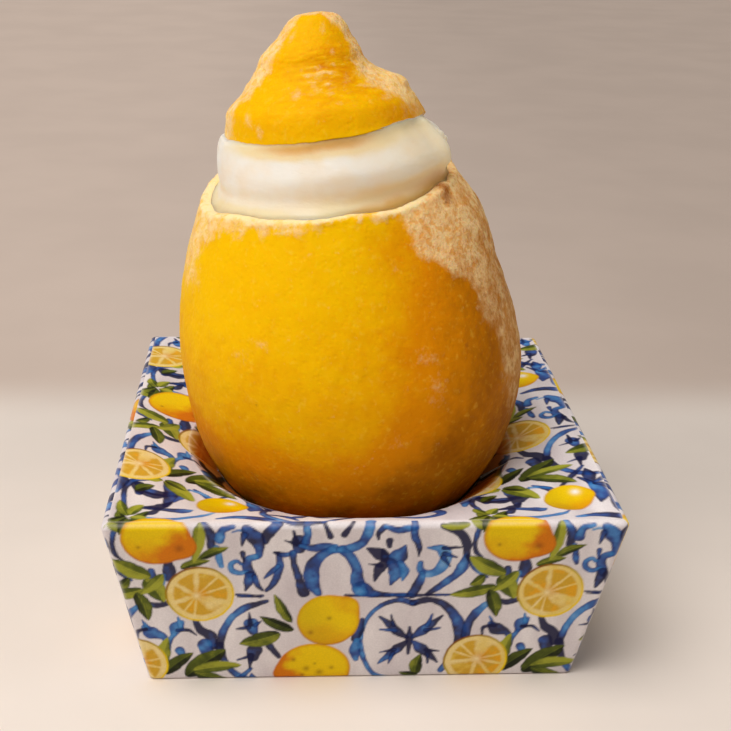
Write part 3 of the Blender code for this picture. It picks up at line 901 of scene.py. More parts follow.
# Each row is a stroke's path, widths and tones, which run from 0, the palest blue, to 1, navy.
STROKES = (
    # seams between the drawn tiles
    (((15.6, 14), (21, 14.4)), (0.5, 0.4), (0.9,)),
    (((38, 14.5), (50, 14.6), (66, 14.5)), (0.6, 0.8, 0.3), (0.9, 1, 0.8)),
    (((88, 14.5), (92.5, 14.7)), (0.4,), (0.9,)),
    # double scroll with a spiral
    (((9.6, -4.5), (10.9, -1.6), (10.9, 1.4)), (0.8, 1.7, 1.3), (0.3, 0.8, 1)),
    (((12.6, -0.3), (13.2, -2.6), (15.2, -3.5)), (1.6, 1.3, 0.9), (0.3, 0.4)),
    (((12, 1.6), (12.4, 4.2), (12.8, 6.4)), (0.9, 1.2, 0.8), (0.25, 0.35)),
    (((15.2, -2.3), (16.6, -2.7), (17.6, -2)), (0.4, 0.5), (0.2,)),
    (((17.9, -3), (19.2, -1.4), (20.3, 0.6), (20.4, 3.6), (19.6, 4.4)),
     (1.6, 2.8, 1.3, 0.8), (0.6, 0.55, 0.35)),
    (((17.5, -1.6), (17, 1.2)), (1.2, 0.4), (0.7, 1)),
    (((19.8, 4), (18.2, 4.8), (18, 6.8), (18.9, 9.2)), (1.2, 1.4, 1.7, 1.5), (0.3, 0.45, 0.5)),
    (((18, 7.9), (16.3, 8.3), (14.9, 7.5), (14.8, 6), (15.9, 5.2), (16.8, 5.9)),
     (0.9, 1.1, 0.9, 0.7), (0.3, 0.35)),
    (((17.1, 3), (17.3, 5.2)), (0.9, 0.4), (0.8,)),
    (((18.5, 9), (18.1, 11), (17.6, 12.9)), (1.9, 1.5, 0.4), (0.6, 1)),
    (((19.4, 9.3), (20, 11.6), (21, 12.9)), (1, 0.9, 0.4), (0.7, 1)),
    (((21.7, 0.2), (22.2, -1.8), (24.3, -4.2)), (1, 1.9, 1.5), (0.6, 0.85, 0.6)),
    (((24.2, 3.3), (24.5, 6.2), (24, 9.2), (22.9, 11.6), (21.8, 13)),
     (0.9, 1.3, 1.3, 0.7), (0.5, 0.6, 0.9)),
    (((23.5, 3), (25.2, 3.6), (26.7, 3.4)), (0.7, 1.1, 0.9), (0.8, 0.5)),
    (((24.1, 6.6), (22.7, 8.1), (21.4, 9.7)), (1, 0.9, 0.4), (0.6, 0.9)),
    (((28.4, 0.2), (28.4, 2.2)), (2.6, 1.8), (0.6, 0.7)),
    tick((28, 0.8), (27.2, -2.4), 1.1), tick((28, 1), (25.6, 0)), tick((29, 0.4), (29.7, -1.4), 0.9, 0.8),
    (((27.1, 3.2), (27.4, 6.4), (28.5, 10.4), (29.3, 13.6)), (1.3, 1, 1.4, 2), (0.7, 0.9, 1)),
    # tulip of thick bands between two medallions
    (((29.3, -5), (30, -2.2), (29.7, 0.4)), (0.8, 1.3, 1.4), (0.2, 0.3)),
    (((28.6, 1.4), (31, 1.9), (33.4, 1.8), (35.2, 2.2)), (0.8, 1.4, 1.9, 2), (0.3, 0.45, 0.4)),
    (((34.9, 2.4), (32.8, 3.8), (31.2, 6.3), (30.9, 9.2), (31.3, 11.8), (32.4, 14)),
     (1.6, 1.7, 2.3, 2.6, 2.2, 1), (0.4, 0.45, 0.6)),
    (((33.2, -4.6), (34.5, -0.9)), (0.6, 1), (0.95,)),
    (((39.2, -4.6), (37.2, -1.4)), (0.6, 1.1), (0.95,)),
    (((42.6, -5), (41.5, -0.4), (39.4, 1.7), (36.8, 2.4)), (1.6, 1.6, 1.7, 1.6), (0.35, 0.5)),
    (((36.8, 2.4), (38.8, 4.5), (40, 7.6), (40.3, 11), (41.6, 13.6)),
     (1.6, 1.6, 1.7, 2.3, 1.8), (0.5, 0.6, 0.35)),
    (((41, 12.6), (43.6, 14), (47, 14.4), (51.5, 14.5)), (3, 1.7, 0.9, 0.7), (0.35, 0.7, 1)),
    # upper medallion with a flower and a scroll
    (((44.1, -0.2), (44.1, -1.6), (45.1, -3.2)), (0.5, 0.9, 1.1), (1, 0.8)),
    (((45.5, -3.4), (48, -2.5), (51.4, -3.2)), (0.8, 1.4, 1.2), (0.35, 0.3)),
    (((51.2, -4.5), (51.3, -1.2), (52.3, 1.6), (52.4, 4.2)), (1, 1.3, 1.1, 0.4), (0.4, 0.9)),
    (((46.3, 0.2), (46.4, 1.6)), (1.2, 0.9), (1,)),
    (((46.4, 5.2), (44.6, 3.6), (42, 2.2)), (1.4, 2.5, 0.5), (0.8, 1)),
    (((46.6, 5), (48.4, 4.2), (49.6, 1.6)), (1.4, 2.9, 0.5), (0.5, 0.4)),
    (((45.6, 4.8), (45, 2.6)), (1.4, 0.6), (0.7, 0.8)),
    (((46, 5.6), (44.6, 7.4), (43.7, 10.6)), (1.6, 1.9, 0.4), (0.9, 1)),
    tick((44.8, 6.6), (42.4, 6.2), 0.9, 1),
    (((46.8, 5.6), (48, 8.2), (47.1, 11.6)), (1.6, 2.6, 0.5), (0.5, 0.35, 0.8)),
    (((48.8, 6), (49.7, 8.2), (49.4, 10.6)), (1.3, 1.6, 0.4), (0.3, 0.2)),
    (((54.3, 2), (57, 2.4), (57.9, 5), (56.8, 7.8), (54.6, 8.9), (53, 7.8), (52.9, 6)),
     (0.5, 2, 1.9, 1.6, 1.3, 0.9), (0.25, 0.3, 0.35)),
    tick((57.4, 2.2), (61, 2), 0.9, 0.95), tick((57.6, 3.6), (60.2, 4.6), 1, 0.95),
    tick((57.4, 4.6), (58.9, 6.9), 1, 0.95),
    (((53.4, 8.6), (52.9, 11), (51.6, 14.4)), (1, 1.6, 1.7), (0.4, 0.7, 1)),
    (((57, -3.4), (60, -2), (61.9, 0.8), (62.1, 4.2)), (1.1, 1.6, 1.6, 1.1), (0.9, 1, 0.8)),
    (((62, 4.4), (61.6, 6.9), (60.3, 9.2), (57.6, 11.8), (54.8, 14.4)),
     (1, 2, 1.4, 1.3, 1), (0.4, 0.6, 0.7, 0.9)),
    (((62.4, 4.4), (64.2, 7.4), (66.8, 9.9)), (1, 1.2, 0.5), (0.95, 0.6)),
    (((64.6, -4.6), (63.6, 0.2), (63.9, 3), (65.4, 4.8)), (1.1, 0.8, 0.9, 0.4), (0.4, 1)),
    (((50.6, 14.9), (51.5, 14.6)), (0.6,), (1,)),
    # under the first lemon
    (((74.2, 5.4), (74.4, 7.6), (74.1, 9.4)), (1.4, 2.2, 1.4), (1, 0.9)),
    (((70.8, 7.6), (71.4, 11.4)), (1.2, 1.6), (0.8, 0.9)),
    (((73.2, 8.8), (72.2, 12.6)), (1, 1.2), (0.4, 0.2)),
    (((69, 16), (71.6, 16.7), (74.4, 16)), (0.8, 1.3, 0.9), (0.8, 0.9)),
    # lower medallions
    (((21.8, 15.9), (17.6, 17.5), (14.6, 20.3), (12.8, 24), (11.8, 28)),
     (0.7, 1.5, 1.2, 1.3, 1.5), (0.8, 0.7, 0.3, 0.4, 1)),
    (((11.8, 28), (12.7, 32), (14.8, 36), (18.6, 38.6), (24, 38.4)),
     (1.6, 1.1, 1.5, 0.8), (1, 0.8, 0.5, 0.4)),
    (((52, 16.7), (48.6, 15.9), (45, 17.6), (42.6, 21), (41.4, 26), (41.9, 31), (44.2, 36.4),
      (48, 38.6)), (1.4, 1, 0.8, 0.8, 1, 0.9, 1), (1, 0.6, 0.3, 0.3, 0.25)),
    (((52, 16.7), (55.4, 15.9), (58.8, 17.6), (61.4, 21.4), (62.5, 26), (61.9, 30.6), (59, 36)),
     (1.4, 1.2, 1.7, 2.2, 1.9, 1.1), (1, 0.9, 0.7, 1, 0.6)),
    (((41.6, 21.2), (41, 24), (40.2, 26.6)), (0.8, 1.9, 1.4), (0.9, 1)),
    (((40.8, 27.2), (40.3, 30), (40.6, 32.6)), (1.3, 2, 0.8), (0.4, 0.25)),
    (((68, 16.4), (65.4, 19.4), (64, 22.6), (63.6, 26), (64.2, 28.4)),
     (0.8, 1.6, 1.5, 1.6, 0.8), (0.4, 0.6, 1)),
    (((79.8, 17.2), (82.6, 20)), (0.6, 0.4), (0.5,)),
    # four-armed flower
    (((51.6, 23.4), (51.7, 26.6), (51.7, 31)), (0.4, 1.4, 0.4), (1, 0.8, 1)),
    (((51.2, 26.4), (49, 24.6), (47.4, 22.6), (45.2, 20.4)), (0.7, 1.8, 1.4, 0.4), (0.9, 1)),
    tick((48.2, 22.8), (47.6, 20)), tick((48.6, 24.4), (45.4, 24), 0.9, 0.8),
    (((52.4, 26.4), (54.4, 24.4), (56.2, 22.6), (58.3, 20.3)), (0.7, 2.1, 1.4, 0.4), (0.6, 0.8)),
    tick((55.4, 22.8), (56.2, 19.9), 0.9, 0.7), tick((55, 24.4), (58, 23.8), 0.9, 0.8),
    (((51.2, 27.4), (49.4, 29.4), (47.6, 31.4), (45.4, 33.8)), (0.6, 1.9, 1.5, 0.4), (0.9, 0.6)),
    tick((48.4, 30.8), (47.6, 33.8), 1, 0.8), tick((48.6, 29.8), (45.6, 30.6)),
    (((52.4, 27.4), (54.4, 29.6), (56.4, 31.6), (58, 33.6)), (0.6, 2.2, 1.3, 0.4), (0.5, 0.9)),
    tick((55.8, 31), (56, 33.8), 0.9, 0.8), tick((55.4, 30), (58.2, 30.4), 0.8, 0.8),
    # buds in the other medallions
    (((18.6, 22), (18.9, 24.2)), (2.4, 1.6), (0.4, 0.6)),
    tick((18.4, 22.2), (18.2, 19), 1), tick((18, 23), (15.6, 23.4), 0.9, 0.8),
    tick((19.4, 22.4), (20.8, 21.2), 0.9, 0.7),
    (((19.2, 29.4), (18.8, 31.4)), (2.6, 2), (0.75, 0.95)),
    tick((18.4, 31), (18.1, 34.8), 1.2, 1), tick((18.4, 31.2), (15.6, 32.2)),
    (((22.4, 28.4), (24.2, 31.4)), (1.4, 0.9), (0.9,)),
    (((68.6, 22.6), (70, 24.2), (72.4, 25.4), (73.2, 28), (72.6, 31)),
     (1, 2.6, 1.2, 1.1, 0.9), (0.35, 0.75, 0.5)),
    tick((69.4, 23.2), (68.2, 20.6), 1, 0.5),
    (((69, 23.2), (67.2, 23.8), (67.1, 26)), (0.8, 0.8, 0.3), (1,)),
    (((74.6, 24.6), (75.2, 22.8), (76.4, 21.4)), (1, 2.4, 0.8), (0.5, 0.5)),
    tick((76, 22.4), (75.6, 20), 0.9, 0.4),
    (((75.4, 23.6), (77.6, 23.6), (79.2, 25)), (0.8, 0.7, 0.3), (0.9,)),
    (((74.6, 24.8), (73.6, 26.8), (73.4, 29)), (0.8, 0.9, 0.5), (0.4,)),
    (((79, 20.6), (80.2, 23.6), (82.2, 25.4), (82.6, 28.4)), (0.8, 1.6, 2, 1.2), (1, 0.9)),
    (((80.8, 27.6), (81.2, 29.4)), (2.4, 2.2), (0.5, 0.6)),
    (((75.6, 29.2), (76.4, 31.4)), (1.6, 1), (0.3,)),
    # lower rows of the pattern
    (((30, 41.5), (24, 44), (21.2, 49), (22.6, 54), (27.4, 57.6), (33, 57.4)),
     (0.8, 1.4, 1.1, 1.5, 1.2, 0.8), (0.4, 0.9, 0.4, 0.8)),
    (((30, 41.5), (36, 43.4), (39.4, 48), (38.6, 53.4), (33, 57.4)),
     (0.8, 1.6, 1.8, 1.2, 0.8), (0.5, 1, 0.6)),
    (((30.2, 49.4), (28, 46.6), (25.6, 45.6)), (0.8, 1.9, 0.4), (0.9,)),
    (((30.4, 49.4), (32.8, 46.6), (35.2, 45.4)), (0.8, 2, 0.4), (0.5, 0.7)),
    (((30.2, 50), (28.4, 53), (26.2, 54.4)), (0.8, 2, 0.4), (0.6, 0.9)),
    (((30.4, 50), (32.8, 53), (35, 53.8)), (0.8, 1.9, 0.4), (0.9,)),
    (((44, 42), (50, 40.6), (56, 43.6), (57.6, 49.4), (53.8, 54), (48.4, 53.4), (46.6, 49.4),
      (49.4, 46.4), (52.4, 48)), (0.8, 1.4, 1.8, 1.6, 1.3, 1.1, 0.8), (0.3, 0.5, 0.8, 0.4)),
    (((66, 40.8), (69.6, 44), (74.8, 43.6), (77.6, 40.4)), (0.7, 1.6, 1.4, 0.6), (0.5, 0.9)),
    (((-6.4, 50.6), (-7.2, 45), (-6, 41), (-2.4, 39.4)), (0.8, 1, 1.3, 0.6), (0.6, 0.8, 0.5)),
    (((1, 40.2), (2, 44), (1.5, 48.6)), (1.4, 2.4, 1), (0.5, 0.8, 0.6)),
    (((-4.6, 42.6), (-4.2, 45)), (2.4, 1.4), (1, 0.7)),
    (((-4.4, 44.6), (-1, 45.4), (1.6, 44.4)), (1, 1.5, 0.5), (1, 0.8)),
    (((-2.4, 49.6), (0.4, 49), (2.4, 46.8)), (0.6, 1.8, 0.5), (0.9, 1)),
    (((-4, 50.2), (0.1, 49.8), (5.2, 50.8), (7, 50.2)), (0.4, 1, 1.9, 0.4), (0.8, 0.6, 0.3)),
    (((0.2, 49.8), (-1, 52), (-3.4, 52.4)), (1, 1.6, 0.4), (1, 0.7)),
    (((3, 46.2), (4.6, 43.8), (6, 43.2)), (0.5, 1.3, 0.4), (0.6, 0.5)),
    (((-2.6, 54), (3, 55.2), (9.2, 53.4), (11.4, 51.6)), (0.5, 0.9, 0.9, 0.4), (0.2, 0.4, 0.2)),
    (((-9.4, 37.6), (-8.2, 41.4), (-8.8, 45.4)), (0.8, 2.4, 0.8), (1, 0.7, 0.3)),
    (((6.6, 39.8), (9.6, 42.6), (11.4, 46.2)), (0.5, 1.3, 0.5), (0.7, 0.5)),
    (((5.6, 40.4), (8.4, 41.2), (11.8, 44)), (0.4, 0.8, 0.4), (0.3,)),
    (((12, 42.4), (15.4, 38.4), (18.4, 34.8)), (0.6, 1.3, 0.5), (0.9, 0.7)),
    (((18.4, 42.6), (18.7, 39.2), (18.5, 36.4)), (1.4, 2.4, 0.4), (0.5, 0.8)),
    (((18.4, 42.6), (16.2, 39.8)), (1.2, 0.4), (0.7, 1)),
    (((18.6, 43.4), (19.4, 46.4), (18.6, 49.2)), (1.6, 3, 0.6), (0.4, 0.6, 0.9)),
    (((19, 43), (21.4, 44), (22.6, 47.6)), (0.8, 1.5, 0.4), (0.8, 1)),
    (((19.2, 42.4), (21.8, 40.6), (23, 38)), (0.7, 1.3, 0.4), (0.5,)),
    (((12.2, 55), (16.6, 54), (21.6, 55.4), (24.6, 58)), (0.6, 1.6, 1.9, 0.8), (0.5, 0.8, 0.5)),
    (((22, 51.6), (25.6, 53), (28, 56)), (0.5, 1.4, 0.6), (0.9, 0.6)),
)
# each row is a leaf's base, tip, width and tone, from 0, the palest green, to 1
LEAVES = (
    ((-1.4, 9.2), (-9.2, 4.4), 3.6, 0.25), ((-3, 12.4), (-12.6, 14.6), 2.9, 0.35),
    ((-2.6, 9.6), (1, 15.8), 3.9, 0.3), ((-4.4, 13.2), (-2.4, 20.8), 3, 0.75),
    ((8.2, 4.6), (14.4, 1.6), 2, 0.55), ((4.6, 6.8), (10.6, 5), 2, 0.5),
    ((8.8, -4.6), (7.2, 5.6), 2.5, 0.05), ((27, 21.8), (23.4, 14), 2.2, 0.45),
    ((27.4, 24), (20.4, 20), 2.6, 0.85), ((24.6, 24.8), (16, 27.6), 3.8, 0.5),
    ((-0.8, 35.8), (1.3, 25.6), 3.2, 0.15), ((-0.4, 36.2), (6.4, 30), 3.2, 0.85),
    ((4.6, 36.8), (13.2, 29.2), 4.6, 0.8), ((53.4, 37.2), (54.4, 31.2), 2.6, 0.55),
    ((54, 37.2), (50, 36.4), 1.6, 0.9), ((62.4, -3.8), (56.4, -3.6), 1.9, 0.1),
    ((-5, -2.6), (-9.6, -6.4), 3, 0.3), ((-4.6, -4), (-7.6, -10.4), 2.6, 0.6),
    ((-4, -4.6), (-1.6, -11), 2.6, 0.8), ((0, 38.6), (-4.8, 38.4), 2.2, 0.05),
    ((0.2, 38.8), (7, 45.2), 3.4, 0.1), ((0.4, 38.2), (5.2, 41.2), 2.4, 0.55),
    ((6.4, 35.6), (15.6, 41.6), 3.4, 0.55), ((6.2, 35), (16.4, 33.8), 3, 0.25),
    ((-5.4, 53.4), (-7.6, 48.2), 2.4, 0.4), ((-5.2, 53), (-2.8, 49), 2.4, 0.2),
    ((-5, 54), (-1.2, 55.6), 2.2, 0.1), ((-5.8, 54), (-10.2, 56.8), 2.4, 0.5),
    ((-5.4, 54.6), (-7, 60.2), 2.6, 0.6), ((60, 44), (54.4, 41), 2.6, 0.4),
    ((66.8, 44.4), (70.6, 41.6), 2.4, 0.7), ((1.2, 8.4), (-3.6, 13.6), 2.6, 0.2),
    ((-5.6, 9.4), (-8.6, 12), 2.2, 0.6),
)
FRUITS = (
    PaintedLemon((0.0, -0.8), (6.8, 6.6), 25.0, 2.6, 0.75, ((4.6, 2.6, 0.9), (-3.4, 2.2, 0.4))),
    PaintedLemon((31.7, 35.2), (7.8, 7.4), 170.0, 1.6, 0.75,
                 ((-4.3, -2.8, 0.5), (-1.6, -0.2, 0.7), (1.2, 0.9, 0.8), (3.8, -0.4, 0.5), (-2.4, 1.6, 0.4),
                  (0.2, -1.6, 0.3))),
    PaintedLemon((34.5, 21.3), (6.5, 7.0), -42.0, 1.9, 0.30, ((0.2, -0.6, 0.5), (-3.6, 3.4, 0.6))),
    PaintedSlice((8.3, 13.8), (7.0, 7.3), (-0.7, 0.4), 8, 0.2, 0.45),
    PaintedSlice((66.2, 33.0), (6.9, 7.2), (0.3, -0.2), 8, 0.6, 0.6),
    PaintedLemon((12.4, 46.8), (4.9, 4.7), -8.0, 1.1, 0.12, shine=(1.9, -1.8)),
)


def painted(places: Array) -> Array:
    """Paint the print at places on the sheet.

    Args:
        places: (rows, columns, 2) places in millimetres, right and down.

    Returns:
        (rows, columns, 3) colours in linear light.
    """
    sheet = Sheet(places.reshape(-1, 2))
    strokes = [Stroke(*row) for row in STROKES]
    leaves = [Leaf(*row) for row in LEAVES]
    for motif in (*strokes, *leaves, *FRUITS):
        motif.paint(sheet)
    return sheet.colour.reshape(places.shape[:-1] + (3,))


# -------------------- the holder

class Side(Enum):
    """The box's sides, by how many quarter turns each is from +X."""

    RIGHT = 0
    BACK = 1
    LEFT = 2
    FRONT = 3

    @property
    def window(self) -> Pair:
        """Where the middle of this side's top edge lies on the printed sheet."""
        return {Side.RIGHT: (14.0, 30.0), Side.BACK: (60.0, 52.0), Side.LEFT: (4.0, 66.0),
                Side.FRONT: (42.1, -4.0)}[self]


@dataclass
class CardHolder:
    """The folded card box: four leaning sides, a sagging top, a ring of bent tabs and a base."""

    height: float = 41.0
    top_width: float = 105.0
    base_width: float = 90.3
    card: float = 0.6
    fold_radius: float = 1.2
    base_fold: float = 0.7
    corner: float = 1.3
    seat: Pair = (-1.3, -4.5)
    crease_radius: float = 37.0
    crease_sag: float = 4.1
    sag_front: float = 1.1
    tip_drop: float = 9.8
    tab_clearance: float = 0.6
    tab_count: int = 12
    first_slit: float = -0.63      # where the first tab starts, in tabs round from +X
    tab_spread: float = 0.35       # how differently the tabs bend, in millimetres
    tab_cells: tuple[int, int] = (4, 3)             # the tabs' cells on the flat pattern
    tab_room: Pair = (0.24, 0.32)                   # and each one's size
    slit_at_crease: float = 0.4
    slit_at_tip: float = 1.3
    stride: int = 12
    side_columns: int = 372
    side_rows: tuple[int, int, int] = (4, 134, 6)
    top_rows: int = 96
    top_window: Pair = (42.1, 5.5)   # where the top's middle lies on the sheet
    bow: float = 0.22              # how far the sides bow in and out
    glow_and_shade: Colour = (0.62, 0.24, 0.04)              # painted glow and shade that the lemon throws on the bent tabs, orange-brown towards their tips

    def half_width(self, height: Array) -> Array:
        """Half the outer width at a height, as the sides lean out."""
        return (self.base_width + (self.top_width - self.base_width) * height / self.height) / 2

    def edge(self, side: Side, share: Array, half: Array, corner: float) -> Array:
        """Plan points along one side, with half of a round corner at each end.

        Along the side runs s = share times (flat + corner pi / 4). Up to `flat` the point is
        (half, s); past it the point goes round the corner's circle, by up to an eighth of a turn.

        Args:
            side: which side.
            share: -1 to 1 along it, counter-clockwise.
            half: half the box's width there.
            corner: the corners' radius.

        Returns:
            (..., 2) points.
        """
        flat = half - corner
        s = share * (flat + corner * math.pi / 4)
        past = np.clip((np.abs(s) - flat) / corner, 0.0, None)
        x = flat + corner * np.cos(past)
        y = np.where(past > 0.0, np.sign(s) * (flat + corner * np.sin(past)), s)
        angle = side.value * math.pi / 2
        return joined(x * math.cos(angle) - y * math.sin(angle), x * math.sin(angle) + y * math.cos(angle))

    def side_slab(self, side: Side) -> tuple[Slab, Array]:
        """Shape and print one side, from the base's fold up to the top's.

        Each fold is a quarter circle; between them the wall leans out and bows a little.

        Returns:
            The slab and its printed colours.
        """
        low, middle, high = self.side_rows
        turn_low = np.linspace(0.0, math.pi / 2, low, endpoint=False)
        turn_high = np.linspace(0.0, math.pi / 2, high + 1)
        straight = np.linspace(self.base_fold, self.height - self.fold_radius, middle, endpoint=False)
        z = np.concatenate([self.base_fold * (1 - np.cos(turn_low)), straight,
                            self.height - self.fold_radius * (1 - np.sin(turn_high))])
        inset = np.concatenate([self.base_fold * (1 - np.sin(turn_low)), np.zeros(middle),
                                self.fold_radius * (1 - np.cos(turn_high))])
        foot = np.minimum(z, self.height - self.fold_radius)
        share = np.linspace(-1.0, 1.0, self.side_columns + 1)
        half = (self.half_width(foot) - inset)[:, None]
        # the corner tightens over the folds, as the top's and the base's do
        corner = self.corner - 0.5 * smoothstep(inset / self.fold_radius)[:, None]
        plan = self.edge(side, share[None, :], half, corner)
        height = np.broadcast_to(z[:, None], plan.shape[:2])
        inner = (1 - share**2)[None, :] * np.sin(np.pi * np.clip(height / self.height, 0, 1))
        waves = self.bow * inner * cloud(np.concatenate([plan, height[..., None]], -1), 34.0, 40 + side.value)
        out = np.array([math.cos(side.value * math.pi / 2), math.sin(side.value * math.pi / 2)])
        points = np.concatenate([plan + waves[..., None] * out, height[..., None]], axis=-1)
        slant = math.hypot(1.0, (self.top_width - self.base_width) / 2 / self.height)
        down = (self.height - z[:, None]) * slant - 0.6 * inset[:, None] * (z[:, None] > self.height / 2)
        x0, y0 = side.window
        sheet = joined(share[None, :] * half + x0, down + y0)
        worn = 0.2 * bell(self.height - z[:, None] - 0.35, 0.3) * (0.8 + 0.5 * cloud(points, 2.5, 8))
        corner_worn = 0.3 * bell((1 - np.abs(share[None, :])) * half, 0.5)
        return Slab(points, self.card, self.stride), self.rub(painted(sheet), np.maximum(worn, corner_worn))

    @staticmethod
    def rub(colours: Array, amount: Array) -> Array:
        """Pale the print by an amount, as along folds where the card's surface is rubbed."""
        amount = np.clip(np.broadcast_to(amount, colours.shape[:2]), 0.0, 1.0)[..., None]
        return colours + amount * (np.array(Ink.GROUND.value) * 1.04 - colours)

    def seat_directions(self, side: Side, share: Array) -> Array:
        """Unit plan vectors from the hole's middle to the points of one side's outer edge."""
        outline = self.edge(side, share, np.array(self.top_width / 2), self.corner) - np.array(self.seat)
        return outline / np.linalg.norm(outline, axis=-1, keepdims=True)

    def top_print(self, plan: Array) -> Array:
        """Print the top: its sheet runs on from the front's over the fold, then is drawn in a little."""
        down = self.top_window[1] + 3.0 * smoothstep((plan[..., 1] + 50.0) / 20.0) - plan[..., 1]
        return painted(joined(plan[..., 0] + self.top_window[0], down))

    def top_slab(self, side: Side) -> tuple[Slab, Array]:
        """Shape and print one quarter of the top, from its fold to the hole's crease.

        A point lies a share w of the way from the fold to the crease and has sunk by the sag
        times w to the 1.4, and the crease sags more towards the front.

        Returns:
            The slab and its printed colours.
        """
        share = np.linspace(-1.0, 1.0, self.side_columns + 1)
        half = self.half_width(np.array(self.height - self.fold_radius)) - self.fold_radius
        fold = self.edge(side, share, half, self.corner - 0.5)
        toward = self.seat_directions(side, share)
        crease = np.array(self.seat) + self.crease_radius * toward
        w = np.linspace(0.0, 1.0, self.top_rows + 1)[:, None]
        plan = fold + (crease - fold) * w[..., None]
        sag = self.crease_sag - self.sag_front * toward[:, 1]
        ripple = 0.25 * np.sin(np.pi * w) * cloud(plan, 26.0, 60)
        points = np.concatenate([plan, (self.height - sag * w**1.4 + ripple)[..., None]], axis=-1)
        colours = self.top_print(plan)
        worn = 0.3 * bell(w * np.linalg.norm(crease - fold, axis=-1), 0.5) + 0.3 * bell((1 - w) * 20.0, 0.5)
        return Slab(points, self.card, self.stride), self.rub(colours, worn)

    def tab_slab(self, number: int) -> tuple[Slab, Array]:
        """Shape and print one tab, bent down from the crease to just clear of the lemon.

        Returns:
            The slab and its printed colours.
        """
        step = 2 * math.pi / self.tab_count
        start = step * (number + self.first_slit)
        across = np.linspace(0.0, 1.0, 6 * self.stride + 1)[None, :]
        down = np.linspace(0.0, 1.0, 2 * self.stride + 1)[:, None]
        middle = start + step / 2
        slit = (self.slit_at_crease + (self.slit_at_tip - self.slit_at_crease) * down) / 2
        turn = middle + (across - 0.5) * (step - 2 * slit / self.crease_radius)
        toward = joined(np.cos(turn), np.sin(turn))
        sag = self.crease_sag - self.sag_front * toward[..., 1]
        drop = self.tip_drop - self.sag_front * toward[..., 1]
        tip = Lemon().radius(self.height - drop) + self.tab_clearance
        # the tip's corners are rounded off and each tab bends a little differently
        rounding = 1.0 - 0.10 * (np.abs(2 * across - 1) ** 6)
        own = self.tab_spread * lattice_noise(np.array([[number * 1.7, 0.0, 0.0]]), 1.0, 77)[0]
        radius = self.crease_radius + (tip - self.crease_radius + own * 0.5) * down * rounding
        z = self.height - sag - (drop - sag + own) * down**1.1 * rounding
        plan = np.array(self.seat) + radius[..., None] * toward
        points = np.concatenate([plan, z[..., None]], axis=-1)
        length = np.hypot(self.crease_radius - radius, self.height - sag - z)
        flat = np.array(self.seat) + (self.crease_radius - length)[..., None] * toward
        colours = self.top_print(flat)
        worn = 0.2 * bell(down * 6.0, 0.4) + 0.25 * bell((1 - down) * 6.0, 0.3)
        # painted glow and shade: the tabs darken to orange-brown towards their tips, where the lemon's light
        # and shadow fall
        glow_and_shade = smoothstep(2.2 * down + 0.25 + 0.3 * cloud(points, 6.0, 79))[..., None]
        colours = colours * (1.0 - glow_and_shade * (1.0 - np.array(self.glow_and_shade)))
        cells, levels = self.tab_cells
        left, low = number % cells / cells + 0.005, number // cells / levels + 0.005
        tile = (left, low, left + self.tab_room[0], low + self.tab_room[1])
        return Slab(points, self.card, self.stride, tile), self.rub(colours, worn)

    def base_slab(self) -> tuple[Slab, Array]:
        """Shape the base: a flat square plate of bare board."""
        half = self.base_width / 2 - self.base_fold
        line = np.linspace(-half, half, 2 * self.stride + 1)
        x, y = np.meshgrid(line, line)
        points = joined(x, y, self.card)
        return Slab(points, self.card, self.stride), np.full(points.shape, 0.72)

    def build(self) -> None:
        """Build and dress every panel of the holder."""
        finish = CardFinish().make()
        panels: dict[str, list[tuple[Slab, Array]]] = {"card_base": [self.base_slab()]}
        for side in Side:
            panels[f"card_side_{side.name.lower()}"] = [self.side_slab(side)]
            panels[f"card_top_{side.name.lower()}"] = [self.top_slab(side)]
        panels["card_tabs"] = [self.tab_slab(number) for number in range(self.tab_count)]
        for name, made in panels.items():
            piece = make_slabs(name, [slab for slab, _ in made], [colours for _, colours in made])
            place(piece, finish, "holder")


# -------------------- the lemon

